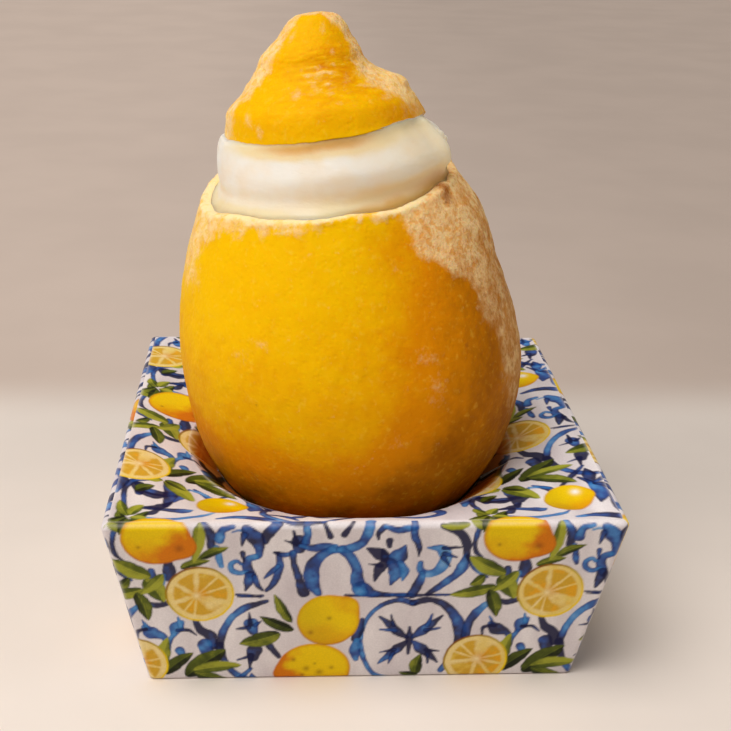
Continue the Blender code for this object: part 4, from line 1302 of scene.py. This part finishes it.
@dataclass(frozen=True)
class Lemon:
    """The whole lemon's form, which the shell and the filling share."""

    middle: Pair = (-1.3, -4.5)
    widest: float = 38.2
    widest_height: float = 61.0
    lower_depth: float = 47.5
    upper_reach: float = 79.0
    upper_power: float = 1.65
    lean_start: float = 51.0
    lean_span: float = 82.0
    lean: float = -9.5
    lean_power: float = 1.35
    lumps: float = 0.22
    swelling: float = 1.6
    swelling_height: float = 93.0
    swelling_tall: float = 7.0
    swelling_wide: float = 0.55
    wall: float = 4.6
    rim_wall: float = 3.2
    rim_crest: float = 1.1         # how high the cut edge's rounding stands
    rim_taper: float = 24.0
    rim_height: float = 98.7
    rim_right: float = 2.8
    rim_back: float = 2.8
    rim_dip: float = 2.6
    floor: float = 6.5

    def radius(self, height: Array) -> Array:
        """The radius: a quarter ellipse below the widest point, a blunter curve above it."""
        rise = height - self.widest_height
        below = np.sqrt(np.clip(1.0 - (rise / self.lower_depth) ** 2, 0.0, 1.0))
        above = 1.0 - (np.clip(rise, 0.0, None) / self.upper_reach) ** self.upper_power
        return self.widest * np.where(rise < 0.0, below, above)

    def axis_x(self, height: Array) -> Array:
        """Where the middle lies in X, as the lemon leans over with height."""
        climb = np.clip((height - self.lean_start) / self.lean_span, 0.0, None)
        return self.middle[0] + self.lean * climb**self.lean_power

    def around_axis(self, turn: Array, radius: Array, height: Array) -> Array:
        """Points round the leaning axis."""
        return joined(self.axis_x(height), self.middle[1], 0.0) + round_to(turn, radius, height)

    def ring(self, turn: Array, height: Array, inset: Array | float = 0.0) -> Array:
        """Points on the skin, or `inset` inside it, at a height for each turn."""
        lumps = self.lumps * (np.sin(2 * turn + height / 17.0) + 0.6 * np.sin(5 * turn - height / 11.0))
        fade = np.clip(self.radius(height) / self.widest, 0.0, 1.0)
        swelling = self.swelling * bell(height - self.swelling_height, self.swelling_tall)
        swelling = swelling * lobe(turn, 0.0, self.swelling_wide)
        radius = self.radius(height) + lumps * fade + swelling - inset
        return self.around_axis(turn, radius, height)

    def rim(self, turn: Array) -> Array:
        """The height of the cut edge: it tilts up to the right and the back, dips on the left and waves."""
        tilt = self.rim_right * np.cos(turn) + self.rim_back * np.sin(turn)
        waves = 0.22 * np.sin(3 * turn + 0.5) + 0.16 * np.sin(7 * turn) + 0.10 * np.sin(13 * turn + 2.0)
        return self.rim_height + tilt - self.rim_dip * bell(signed_angle(turn - 3.2), 0.65) + waves

    def rim_round(self, turn: Array, arc: Array, lift: float = 0.0) -> Array:
        """Points over the cut edge, from the skin at arc 0 over the top to the cavity at arc pi."""
        half = self.rim_wall / 2
        across = np.sign(np.cos(arc)) * np.abs(np.cos(arc)) ** 0.8
        points = self.ring(turn, self.rim(turn) + 0 * arc, half - (half + lift) * across)
        points[..., 2] += (self.rim_crest + lift) * np.sin(arc) ** 0.8
        return points

    @property
    def bottom(self) -> float:
        """The lemon's lowest point."""
        return self.widest_height - self.lower_depth

    def cavity(self, turn: Array, share: float, clearance: float) -> Array:
        """Points on the cavity's wall, from its floor at share 0 to the rim at share 1."""
        floor = self.bottom + self.floor
        height = floor + (self.rim(turn) - floor) * share
        near_rim = smoothstep(1.0 - (self.rim(turn) - height) / self.rim_taper)
        wall = self.wall + (self.rim_wall - self.wall) * near_rim
        rise = np.clip((height - self.widest_height) / (self.widest_height - floor), -1.0, 0.0)
        low_radius = (self.widest - self.wall) * np.sqrt(np.clip(1.0 - rise**2, 0.0, 1.0))
        radius = np.where(height < self.widest_height, low_radius, self.radius(height) - wall) - clearance
        points = self.around_axis(turn, radius, height)
        points[..., 2] += clearance * (1.0 - share) ** 3
        return points


def round_shares(count: int, power: float = 0.9, first: float = 0.12) -> Array:
    """Shares of the way up to the rim, closer together near the bottom, where a bowl turns in."""
    return (1.0 - np.cos(np.linspace(first, 1.0, count) * math.pi / 2)) ** power


@dataclass
class LemonShell:
    """The scooped-out lemon: a frosted, pored rind with a rounded rim and a hidden cavity."""

    form: Lemon = Lemon()
    turns: int = 384
    skin_rows: int = 190
    rim_rows: int = 7
    cavity_rows: int = 14
    # where the frost down the right starts, as (height, degrees round from +X)
    frost_edge: tuple[Pair, ...] = (
        (44.0, -22.0), (52.0, -31.0), (60.0, -37.0), (66.0, -36.0), (71.0, -37.5), (75.0, -40.5),
        (80.0, -42.0), (83.5, -45.0), (86.0, -51.0), (89.0, -59.0), (92.0, -63.0), (98.0, -66.0))
    # and where the thinner frost on the left ends
    left_edge: tuple[Pair, ...] = (
        (70.0, -175.0), (75.0, -160.0), (80.0, -155.0), (86.0, -152.0), (91.0, -147.0), (97.0, -140.0))
    blemishes: tuple[tuple[float, float, float, float], ...] = (    # height, degrees, size, darkness
        (71.5, -52.0, 0.55, 0.8), (59.5, -122.5, 0.45, 0.6), (99.8, -33.0, 2.3, 0.75),
        (98.2, -37.0, 1.5, 0.5))
    # how far below the rim the pale cut flesh shows, as (degrees, millimetres)
    rim_band: tuple[Pair, ...] = (
        (-180.0, 0.3), (-150.0, 0.4), (-125.0, 0.3), (-106.0, 0.6), (-90.0, 0.2), (-74.0, -0.2), (-54.0, 0.3),
        (-40.0, -1.0), (-28.0, -4.0), (60.0, -4.0), (180.0, 0.3))
    pale_patches: tuple[tuple[float, float, float], ...] = (        # height, degrees, size
        (70.5, -67.0, 2.6), (63.5, -65.5, 2.8), (69.0, -128.0, 1.7), (72.5, -120.5, 1.5), (53.0, -78.0, 2.0))

    def frost(self, points: Array, turn: Array) -> Array:
        """How frosted each point of the skin is, from 0 to 1.

        Frost covers the right side past a ragged line, thins out on the left, and rings the rim
        in a scalloped band a few millimetres deep. Each edge eases in over so many degrees or
        millimetres, and noise shifts it to and fro.
        """
        height = points[..., 2]
        angle = degrees_round(turn)
        ragged = cloud(points, 5.0, 21, 4)
        right = smoothstep((angle - curve_through(self.frost_edge, height) + 3.0 + 5.0 * ragged) / 8.0)
        right = right * smoothstep((84.0 - angle + 34.0 * ragged) / 60.0)
        right = right * smoothstep((height - 40.0 + 7.0 * ragged) / 24.0)
        left_line = curve_through(self.left_edge, height)
        around = np.where(angle > 0.0, angle - 360.0, angle)
        left = 0.8 * smoothstep((left_line - around + 6.0 + 12.0 * ragged) / 24.0)
        left = left * smoothstep((height - 68.0) / 18.0) * smoothstep((around + 300.0 + 20.0 * ragged) / 40.0)
        below = self.form.rim(turn) - height
        deep = 1.2 + 8.0 * bell(around + 175.0, 38.0) + 2.0 * bell(angle, 40.0)
        band = 0.8 * smoothstep((deep + 4.4 * cloud(points, 2.6, 33, 4) - below) / 4.0)
        patches = sum(0.32 * bell(height - h, size) * bell((angle - a) * 0.6, size)
                      for h, a, size in self.pale_patches)
        return np.clip(np.maximum.reduce([right, left, band, patches + 0 * height]), 0.0, 1.0)

    def build(self) -> None:
        """Build and dress the shell.

        The skin's rings follow the lemon's form, moved out along its normals by low swellings,
        fine dimples and, where it is frosted, a knobbly crust.
        """
        form = self.form
        turn = full_turn(self.turns)
        top = form.rim(turn)
        shares = round_shares(self.skin_rows, 0.85, 0.05)
        heights = form.bottom + (top - form.bottom) * shares[:, None]
        turns = np.broadcast_to(turn, heights.shape)
        skin = form.ring(turns, heights)
        rim = form.rim_round(turns[:self.rim_rows], np.linspace(0.0, math.pi, self.rim_rows + 2)[1:-1, None])
        cavity = np.stack([form.cavity(turn, share, 0.0) for share in round_shares(self.cavity_rows)[::-1]])
        outer = np.concatenate([skin, rim])
        outer_turns = np.broadcast_to(turn, outer.shape[:2])
        frost = self.frost(outer, outer_turns)
        relief = layered(outer, (0.16, 8.0, 11), (0.10, 2.4, 12)) - 0.04
        relief = relief + frost * (layered(outer, (0.22, 3.6, 13), (0.14, 1.3, 14)) + 0.08)
        relief = relief + 0.34 * bell(form.rim(turn) - outer[..., 2], 2.5) * cloud(outer, 2.2, 16)
        fade = np.ones((len(outer), 1))
        fade[self.skin_rows:, 0] = np.linspace(1.0, 0.2, self.rim_rows)
        outer = outer + surface_normals(outer) * (relief * fade)[..., None]
        rings = np.concatenate([outer, cavity])
        x, y = form.middle
        piece = make_body("lemon_shell_rind", rings, np.array([x, y, form.bottom]),
                          np.array([x, y, form.bottom + form.floor]))
        angle = degrees_round(outer_turns)
        spots = sum(dark * bell(outer[..., 2] - h, size) * bell((angle - a) * 0.62, size)
                    for h, a, size, dark in self.blemishes)
        below = form.rim(outer_turns) - outer[..., 2]
        deep = curve_through(self.rim_band, angle)
        pith = smoothstep((deep + 0.6 + 2.3 * cloud(outer, 2.2, 34, 4) - below) / 2.8)
        inside = np.ones(cavity.shape[:2])
        set_values(piece, frost=np.concatenate([frost, inside]),
                   spot=np.concatenate([np.clip(spots, 0, 1), 0 * inside]),
                   pith=np.concatenate([pith, inside]), tone=self.tone(rings))
        place(piece, RindFinish("lemon_rind_finish").make(), "lemon_shell")

    def tone(self, points: Array) -> Array:
        """How orange and brown the skin is, in broad clouds: painted shade that rises towards the bottom,
        which the holder's hole shades, and towards the shaded right side, up to a limit.
        """
        low = smoothstep((88.0 - points[..., 2]) / 60.0)
        right = smoothstep((points[..., 0] + 10.0) / 42.0)
        base = smoothstep((57.0 - points[..., 2]) / 24.0)
        # painted shade: the low, right and base terms darken the skin towards orange and brown
        orange_shade = np.minimum(0.12 + 0.47 * low + 1.5 * right + 0.95 * base, 1.62)
        return orange_shade + 0.16 * cloud(points, 20.0, 15)


@dataclass
class LemonCap:
    """The lemon's cut-off tip: a blunt wrinkled cone with a shoulder on its right."""

    radius: float = 21.0
    height: float = 22.3
    centre: tuple[float, float, float] = (-8.5, -5.0, 110.6)
    slope_right: float = 0.125
    slope_back: float = -0.08
    # the outline, as (step, share) of the radius and of the height
    radii: tuple = ((0.0, 1.0), (0.14, 0.925), (0.28, 0.715), (0.43, 0.55), (0.57, 0.485), (0.68, 0.395),
                    (0.79, 0.305), (0.87, 0.235), (0.93, 0.15), (0.97, 0.07), (1.0, 0.0))
    heights: tuple = ((0.0, 0.0), (0.14, 0.19), (0.28, 0.35), (0.43, 0.53), (0.57, 0.66), (0.68, 0.76),
                      (0.79, 0.88), (0.87, 0.955), (0.93, 0.987), (0.97, 0.998), (1.0, 1.0))
    # how far its edge droops over the filling, as (degrees round from +X, millimetres)
    droops: tuple = ((-180.0, 0.7), (-150.0, 1.2), (-120.0, 1.3), (-92.0, 1.2), (-76.0, 0.9), (-60.0, 0.4),
                     (-20.0, 0.2), (60.0, 0.2), (180.0, 0.7))
    lean: float = -1.3
    tip_back: float = 1.6
    shoulder: float = 3.2
    shoulder_rise: float = 7.6
    shoulder_tall: float = 2.0
    shoulder_wide: float = 0.5
    flare: float = 0.5
    hollow: float = 3.0
    wall: float = 2.6
    turns: int = 336
    rows: int = 150
    # where the frost on each side ends, as (step, degrees), and single spots, as (step, degrees, size)
    left_edge: tuple = ((0.0, -154.0), (0.08, -148.0), (0.21, -150.0), (0.40, -134.0), (0.63, -129.0),
                        (1.0, -128.0))
    right_edge: tuple = ((0.0, -44.0), (0.14, -50.0), (0.23, -52.0), (0.31, -54.0), (0.46, -49.0),
                         (0.66, -53.0), (0.85, -62.0), (1.0, -70.0))
    pale_spots: tuple = ((0.32, -90.0, 0.05), (0.27, -105.0, 0.045), (0.56, -66.0, 0.05),
                         (0.77, -74.0, 0.06), (0.74, -126.0, 0.07), (0.12, -138.0, 0.05),
                         (0.07, -128.0, 0.035), (0.43, -100.0, 0.03))
    # where its skin is oranger, as (amount, step, its spread, degrees, their spread)
    blushes: tuple = ((0.45, 0.04, 0.07, -26.0, 26.0), (0.12, 0.55, 0.25, -70.0, 30.0))

    def placed(self, points: Array) -> Array:
        """Tip points from the cap's own frame and set them on the filling."""
        up = np.array([-self.slope_right, -self.slope_back, 1.0])
        up /= np.linalg.norm(up)
        right = np.cross((0.0, 1.0, 0.0), up)
        right /= np.linalg.norm(right)
        return points @ np.stack([right, np.cross(up, right), up], axis=1).T + np.array(self.centre)

    def droop(self, turn: Array) -> Array:
        """How far the edge hangs below the flat lower face at each turn."""
        ragged = cloud(round_to(turn, self.radius, 0.0), 4.5, 57, 4)
        return curve_through(self.droops, degrees_round(turn)) + 0.45 * ragged

    def skin(self, step: Array, turn: Array) -> Array:
        """Points of the skin, from the edge at step 0 to the tip at step 1."""
        radius = self.radius * curve_through(self.radii, step)
        height = self.height * curve_through(self.heights, step)
        shoulder = self.shoulder * bell(height - self.shoulder_rise, self.shoulder_tall)
        radius = radius + shoulder * lobe(turn, 0.0, self.shoulder_wide)
        radius = radius + self.flare * bell(height, 2.2) * lobe(turn, 0.0, 0.5)
        radius = radius + 0.25 * np.sin(3 * turn + 9 * step) * (1.0 - step)
        share = height / self.height
        lean = self.lean * smoothstep(share / 0.45) + self.tip_back * smoothstep((share - 0.55) / 0.4)
        height = height - self.droop(turn) * (1.0 - smoothstep(height / 5.0))
        return self.placed(joined(lean, 0.0, 0.0) + round_to(turn, radius, height))

    def underside(self, radius: Array) -> Array:
        """The height of the lower face: a flat wall round a shallow hollow."""
        return self.hollow * np.clip(1.0 - (radius / (self.radius - self.wall)) ** 2, 0.0, 1.0)

    def lower_edge(self, turn: Array, inset: float, drop: float) -> Array:
        """A ring `inset` inside the skin's edge and `drop` below it."""
        reach = self.radius + self.flare * lobe(turn, 0.0, 0.5) - inset
        return self.placed(round_to(turn, reach, -self.droop(turn) - drop))

    def build(self) -> None:
        """Build and dress the cap.

        The wrinkles are noise drawn out along the turn, so they run round the cone and dip to
        the right, and the frost lies on the left edge, the right flank and the tip.
        """
        turn = full_turn(self.turns)
        below = np.array([0.2, 0.45, 0.7, 0.88, 1.0])[:, None] * (self.radius - self.wall)
        lower = self.placed(round_to(turn, below, self.underside(below)))
        edge = np.stack([self.lower_edge(turn, *how) for how in ((1.0, 0.0), (0.6, 0.1), (0.2, 0.1))])
        steps = np.linspace(0.0, 0.99, self.rows)[:, None]
        turns = np.broadcast_to(turn, (self.rows, self.turns))
        skin = self.skin(steps + 0 * turns, turns)
        around = degrees_round(turns)
        wave = 1.2 * cloud(skin, 6.0, 58)
        drawn = joined(around * 0.8 / 6.0, steps * 58.0 + 5.0 * np.sin(turns) + wave, 0.0)
        wrinkle = cloud(drawn, 1.5, 51)
        frost = self.frost(skin, around, steps, wrinkle)
        relief = layered(skin, (0.20, 5.5, 52), (0.11, 1.9, 53))
        relief = relief + 0.12 * wrinkle * bell(steps - 0.42, 0.30) + frost * 0.14 * cloud(skin, 1.3, 54)
        fade = smoothstep(steps / 0.02) * smoothstep((1.02 - steps) / 0.10)
        skin = skin + surface_normals(skin) * (relief * fade)[..., None]
        rings = np.concatenate([lower, edge, skin])
        piece = make_body("lemon_cap_rind", rings, self.placed(np.array([0.0, 0.0, self.hollow])),
                          self.skin(np.array([1.0]), np.array([0.0]))[0])
        inside = np.ones((len(lower) + 1, self.turns))
        outside = np.zeros((len(edge) - 1, self.turns))
        tone = 0.10 + 0.20 * cloud(rings, 9.0, 55)
        tone[-self.rows:] += 0.30 * smoothstep((around + 100.0) / 60.0) * smoothstep((60.0 - around) / 40.0)
        for amount, step, spread, angle, width in self.blushes:
            tone[-self.rows:] += amount * bell(steps - step, spread) * bell(around - angle, width)
        tone[-self.rows:] += (0.1 - 0.6 * wrinkle) * bell(steps - 0.4, 0.25) * bell(around + 70.0, 45.0)
        set_values(piece, frost=np.concatenate([inside, outside, frost]), spot=np.zeros(rings.shape[:2]),
                   pith=np.concatenate([inside, outside, 0 * frost]), tone=tone)
        finish = RindFinish("cap_rind_finish", yellow=(0.93, 0.49, 0.0), orange=linear("#E08A00"))
        place(piece, finish.make(), "lemon_cap")

    def frost(self, points: Array, around: Array, step: Array, wrinkle: Array) -> Array:
        """How frosted each point of the cap is, from its turn in degrees and its step up the outline."""
        ragged = cloud(points, 3.0, 56, 4)
        behind = np.where(around > 60.0, around - 360.0, around)
        left = smoothstep((curve_through(self.left_edge, step) - behind + 4.0 + 14.0 * ragged) / 22.0)
        right = smoothstep((behind - curve_through(self.right_edge, step) + 6.0 + 16.0 * ragged) / 30.0)
        right = right * (0.5 + 0.45 * smoothstep((step - 0.05 + 0.06 * ragged) / 0.14))
        tip = 0.9 * smoothstep((step - 0.90 + 0.05 * ragged) / 0.07)
        area = bell(step - 0.34, 0.13) * bell(behind + 74.0, 30.0)
        streaks = area * (0.7 * smoothstep((wrinkle + 0.15) / 0.7) + 0.2)
        spots = sum(0.45 * bell(step - s, size) * bell((behind - a) / 90.0, size)
                    for s, a, size in self.pale_spots)
        return np.clip(np.maximum.reduce([left, right, tip, streaks, spots]), 0.0, 1.0)


@dataclass
class IceCream:
    """The filling: it fills the shell, swells over the rim and carries the cap."""

    cap: LemonCap
    form: Lemon = Lemon()
    gap: float = 0.3
    lift: float = 0.06             # how far it stands over the rim's middle
    sunk: float = -0.30            # and where it dips under the rim's frost
    rest: float = 1.65             # how far round the rim's edge it lies, from the cavity's side, in radians
    foot_tall: float = 0.30        # the foot's share of the height from rim to cap
    turns: int = 320
    cavity_rows: int = 12
    bulge: float = 24.9
    bulge_lean: float = 0.3
    flank: float = 2.5
    flank_angle: float = -4.0
    flank_spread: float = 0.32
    rounded: tuple = ((0.05, 0.99), (0.14, 0.965), (0.24, 0.97), (0.38, 0.995), (0.54, 1.0), (0.72, 0.98),
                      (0.87, 0.935), (0.96, 0.88))
    sloped: tuple = (0.985, 0.985, 0.99, 1.0, 0.96, 0.91, 0.86, 0.82)
    steps: int = 11

    def neck_rings(self, turn: Array) -> Array:
        """The few rings that the filling's visible part is drawn through, from rim to cap.

        The first two dip under the rim's rounded edge and the third lies on it, further out where
        the filling has run over it. From there the foot draws in to the bulge, which is rounder at
        the front and slopes in on the right, and towards the top its middle moves over to the cap's.
        """
        form, cap = self.form, self.cap
        spilt = lobe(turn, -102.0, 0.20)
        corner = lobe(turn, -21.0, 0.14)
        left = lobe(turn, 180.0, 0.75)
        rest = self.rest + 0.10 * np.sin(5 * turn + 1.0) + 0.08 * np.sin(11 * turn)
        rest = rest + 0.4 * spilt + 0.2 * corner - 0.2 * left
        rings = [form.rim_round(turn, np.full_like(turn, math.pi - 0.1), self.sunk),
                 form.rim_round(turn, math.pi - rest, self.sunk),
                 form.rim_round(turn, math.pi - 0.8 * rest, self.lift)]
        low = form.rim(turn) + form.rim_crest + self.lift
        edge = cap.lower_edge(turn, 0.15, -0.25)
        flank = self.flank * lobe(turn, self.flank_angle, self.flank_spread)
        reach = self.bulge + 0.25 * np.sin(3 * turn + 0.8) - flank + corner
        toward_right = lobe(turn, 0.0, 0.8)
        centre_x = form.axis_x(form.rim_height) - self.bulge_lean
        crest = np.hypot(rings[2][:, 0] - centre_x, rings[2][:, 1] - form.middle[1])
        for (rise, swell), sloped in zip(self.rounded, self.sloped):
            foot = (1.0 - 0.35 * left) * (crest - reach) * (1.0 - smoothstep(rise / self.foot_tall))
            radius = reach * (swell + (sloped - swell) * toward_right) + foot
            share = smoothstep((rise - 0.5) / 0.5)
            past = (radius - cap.radius + 1.0) * (0.2 + 0.35 * lobe(turn, 180.0, 0.9))
            ring = (1 - share) * (round_to(turn, radius, 0.0) + (centre_x, form.middle[1], 0.0))
            ring = ring + share * (round_to(turn, past, 0.0) + edge)
            ring[:, 2] = low + (edge[:, 2] - low) * rise
            rings.append(ring)
        return np.stack(rings + [edge])

    def neck(self, turn: Array) -> tuple[Array, Array, Array]:
        """The visible part's surface.

        The bulge is a smooth cubic through its rings, moved out along its normals by spatula
        marks, a ridge and a channel on the right, and a thin ragged flake behind them.

        Args:
            turn: the columns' turns.

        Returns:
            Its points, and their rise from 0 at the rim to 1 at the cap and turn in degrees.
        """
        neck = resample_rows(self.neck_rings(turn), [4, 6] + [self.steps] * (len(self.rounded) + 1))
        low = self.form.rim(turn)
        rise = np.clip((neck[..., 2] - low) / (neck[-1, :, 2] - low), 0.0, 1.0)
        around = degrees_round(np.broadcast_to(turn, rise.shape))
        shown = smoothstep((rise - 0.13) / 0.10) * smoothstep((1.0 - rise) / 0.10)
        ridge_line = -21.0 - 4.0 * bell(rise - 0.5, 0.3)
        relief = bell(around - ridge_line, 6.0) * smoothstep((rise - 0.1) / 0.3)
        relief = relief - bell(around - ridge_line - 15.0, 7.0) * smoothstep((rise - 0.05) / 0.3)
        jag = cloud(joined(rise * 30.0, 0.0, 0.0), 4.0, 71, 4)
        relief = relief + (1.2 + 0.9 * jag) * bell(around - 2.0 - 2.0 * jag, 3.4) * bell(rise - 0.52, 0.2)
        slant = joined(around * 0.07, rise * 16.0 + 2.2 * np.sin(np.radians(around) * 1.5), 0.0)
        relief = relief + layered(slant, (0.22, 5.2, 72, 2)) + layered(neck, (0.12, 7.0, 73), (0.04, 1.6, 74))
        return neck + surface_normals(neck) * (relief * shown)[..., None], rise, around

    def build(self) -> None:
        """Build and dress the filling: its body in the cavity, the visible part and the top under the cap."""
        form, cap = self.form, self.cap
        turn = full_turn(self.turns)
        shares = round_shares(self.cavity_rows)[:-1]
        cavity = np.stack([form.cavity(turn, share, self.gap) for share in shares])
        neck, rise, around = self.neck(turn)
        under = np.array([1.0, 0.85, 0.65, 0.4, 0.2])[:, None] * (cap.radius - cap.wall)
        top = cap.placed(round_to(turn, under, cap.underside(under) - self.gap))
        rings = np.concatenate([cavity, neck, top])
        x, y = form.middle
        floor = np.array([x, y, form.bottom + form.floor + self.gap])
        peak = cap.placed(np.array([0.0, 0.0, cap.hollow - self.gap]))
        piece = make_body("lemon_ice_cream_filling", rings, floor, peak)
        ragged = cloud(neck, 5.0, 75)
        # painted shade: amber under the cap's edge, tan low down and most on the front right, and a warm cast
        # down the right side; the foot's pith colour is the rim's own
        cap_shadow = smoothstep((rise - 0.72 + 0.05 * ragged) / 0.24) * bell(around + 98.0, 44.0)
        low = (0.20 + 0.30 * bell(around + 50.0, 40.0)) * smoothstep((0.45 + 0.08 * ragged - rise) / 0.3)
        foot = smoothstep((0.20 - rise + 0.07 * ragged) / 0.14) * (1.0 - bell(around + 104.0, 16.0))
        tint = np.clip(cap_shadow + low + 0.42 * foot + 0.24 * bell(around + 20.0, 50.0), 0, 1)
        set_values(piece, tint=np.concatenate([0 * cavity[..., 0], tint, 0 * top[..., 0] + 1]))
        place(piece, CreamFinish().make(), "ice_cream")


# -------------------- studio

@dataclass
class Studio:
    """The floor, the soft lights and the camera."""

    camera_place: tuple[float, float, float] = (-17.21, -272.53, 163.50)
    yaw: float = 4.05
    pitch: float = 21.944
    roll: float = -1.618
    lens: float = 62.86
    floor_reach: float = 4000.0
    floor_near: Colour = linear("#F1E6DC")
    floor_far: Colour = linear("#D9C7BA")
    lamp_size: float = 380.0
    aim_height: float = 60.0       # the height that the lamps face
    air: Colour = (0.92, 0.85, 0.77)                # the light from all round
    air_strength: float = 0.20

    def build(self) -> None:
        """Make the floor, the lights, the surroundings and the camera."""
        bpy.context.scene.view_settings.view_transform = "Standard"
        self.make_floor()
        self.make_camera()
        self.make_sun(towards=(-0.36, -0.23, 0.91), strength=2.65, spread=45.0, colour=(1.0, 0.965, 0.94))
        self.make_light("side_light", where=(-460.0, -260.0, 330.0), power=0.38, colour=(1.0, 0.97, 0.93))
        self.make_light("fill_light", where=(430.0, -130.0, 380.0), power=0.33, colour=(1.0, 0.95, 0.88))
        world = bpy.data.worlds.new("surroundings")
        world.use_nodes = True
        background = world.node_tree.nodes["Background"]
        background.inputs["Color"].default_value = (*self.air, 1.0)
        background.inputs["Strength"].default_value = self.air_strength
        bpy.context.scene.world = world

    def make_floor(self) -> None:
        """Make a plain pale floor that greys into the distance behind the holder, with painted shade that
        darkens it to the right and towards the back.
        """
        r = self.floor_reach
        points = np.array([[-r, -r, 0], [r, -r, 0], [r, r, 0], [-r, r, 0]])
        unit = np.array([[[0, 0], [1, 0], [1, 1], [0, 1]]], dtype=float)
        floor = make_piece("floor", points, [np.array([[0, 1, 2, 3]])], [unit])
        n = Nodes("floor_finish")
        split = n.tree.nodes.new("ShaderNodeSeparateXYZ")
        n.tree.links.new(n.position, split.inputs[0])
        far = n.remap(split.outputs["Y"], 0.085, 0.125)
        mottle = n.remap(n.noise(60.0, 3), 0.3, 0.7, 0.97, 1.02)
        # painted shade: darker to the right and further back, as the light falls off away from the left
        shade = n.math("MULTIPLY", mottle, n.remap(split.outputs["X"], -0.14, 0.20, 1.0, 0.76))
        shade = n.math("MULTIPLY", shade, n.remap(split.outputs["Y"], -0.05, 0.08, 1.0, 0.84))
        paint = n.blend(far, self.floor_near, self.floor_far)
        n.link(n.blend(1.0, paint, n.grey(shade), "MULTIPLY"), "Base Color")
        n.set(Roughness=0.75, Specular_IOR_Level=0.2)
        floor.data.materials.append(n.material)

    def make_camera(self) -> None:
        """Make the camera from where it stands, its turn, how far it looks down and its tilt."""
        yaw, pitch, roll = (math.radians(a) for a in (self.yaw, self.pitch, self.roll))
        ahead = np.array([math.sin(yaw) * math.cos(pitch), math.cos(yaw) * math.cos(pitch), -math.sin(pitch)])
        right = np.array([math.cos(yaw), -math.sin(yaw), 0.0])
        down = np.cross(ahead, right)
        tilted_right = math.cos(roll) * right + math.sin(roll) * down
        tilted_down = -math.sin(roll) * right + math.cos(roll) * down
        matrix = Matrix(np.stack([tilted_right, -tilted_down, -ahead], axis=1).tolist()).to_4x4()
        matrix.translation = np.array(self.camera_place) * MM
        data = bpy.data.cameras.new("camera")
        data.lens = self.lens
        data.clip_start = 0.01
        bpy.context.scene.camera = self.stand(data, matrix)

    @staticmethod
    def stand(data: bpy.types.Camera | bpy.types.Light, matrix: Matrix) -> bpy.types.Object:
        """Put a camera or a light in the scene at its place."""
        thing = bpy.data.objects.new(data.name, data)
        thing.matrix_world = matrix
        bpy.context.scene.collection.objects.link(thing)
        return thing

    @staticmethod
    def facing(where: Array) -> Matrix:
        """The turn of a light that stands at `where` and looks back at the middle."""
        back = where / np.linalg.norm(where)
        side = np.cross((0.0, 0.0, 1.0), back)
        side /= np.linalg.norm(side)
        return Matrix(np.stack([side, np.cross(back, side), back], axis=1).tolist()).to_4x4()

    def make_sun(self, towards: tuple, strength: float, spread: float, colour: Colour) -> None:
        """Make an even soft light from far away.

        Args:
            towards: the direction that it comes from.
            strength: its strength.
            spread: how wide it is in the sky, in degrees.
            colour: its colour.
        """
        data = bpy.data.lights.new("key_light", "SUN")
        data.energy = strength
        data.angle = math.radians(spread)
        data.color = colour
        self.stand(data, self.facing(np.array(towards)))

    def make_light(self, name: str, where: tuple, power: float, colour: Colour) -> None:
        """Make a soft square light that faces the middle of the lemon.

        Args:
            name: its name.
            where: its place in millimetres.
            power: its strength in watts.
            colour: its colour.
        """
        data = bpy.data.lights.new(name, "AREA")
        data.shape = "SQUARE"
        data.size = self.lamp_size * MM
        data.energy = power
        data.color = colour
        turn = self.facing(np.array(where) - np.array([0.0, 0.0, self.aim_height]))
        self.stand(data, Matrix.Translation(np.array(where) * MM) @ turn)


# -------------------- assembly

def place(piece: Piece, material: Material, node: str) -> None:
    """Dress a piece, stand it for its solid and report it.

    Args:
        piece: the finished object.
        material: its finish.
        node: the solid that it stands for.
    """
    piece.data.materials.append(material)
    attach(piece, BODY)
    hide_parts(node)
    LOG.info("%s: %d points, %d faces", piece.name, len(piece.data.vertices), len(piece.data.polygons))


def main() -> None:
    """Build every piece in order; each notes its size as it is placed."""
    logging.basicConfig(level=logging.INFO, format="%(name)s: %(message)s")
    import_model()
    Studio().build()
    CardHolder().build()
    LemonShell().build()
    cap = LemonCap()
    IceCream(cap=cap).build()
    cap.build()


if __name__ == "__main__":
    main()
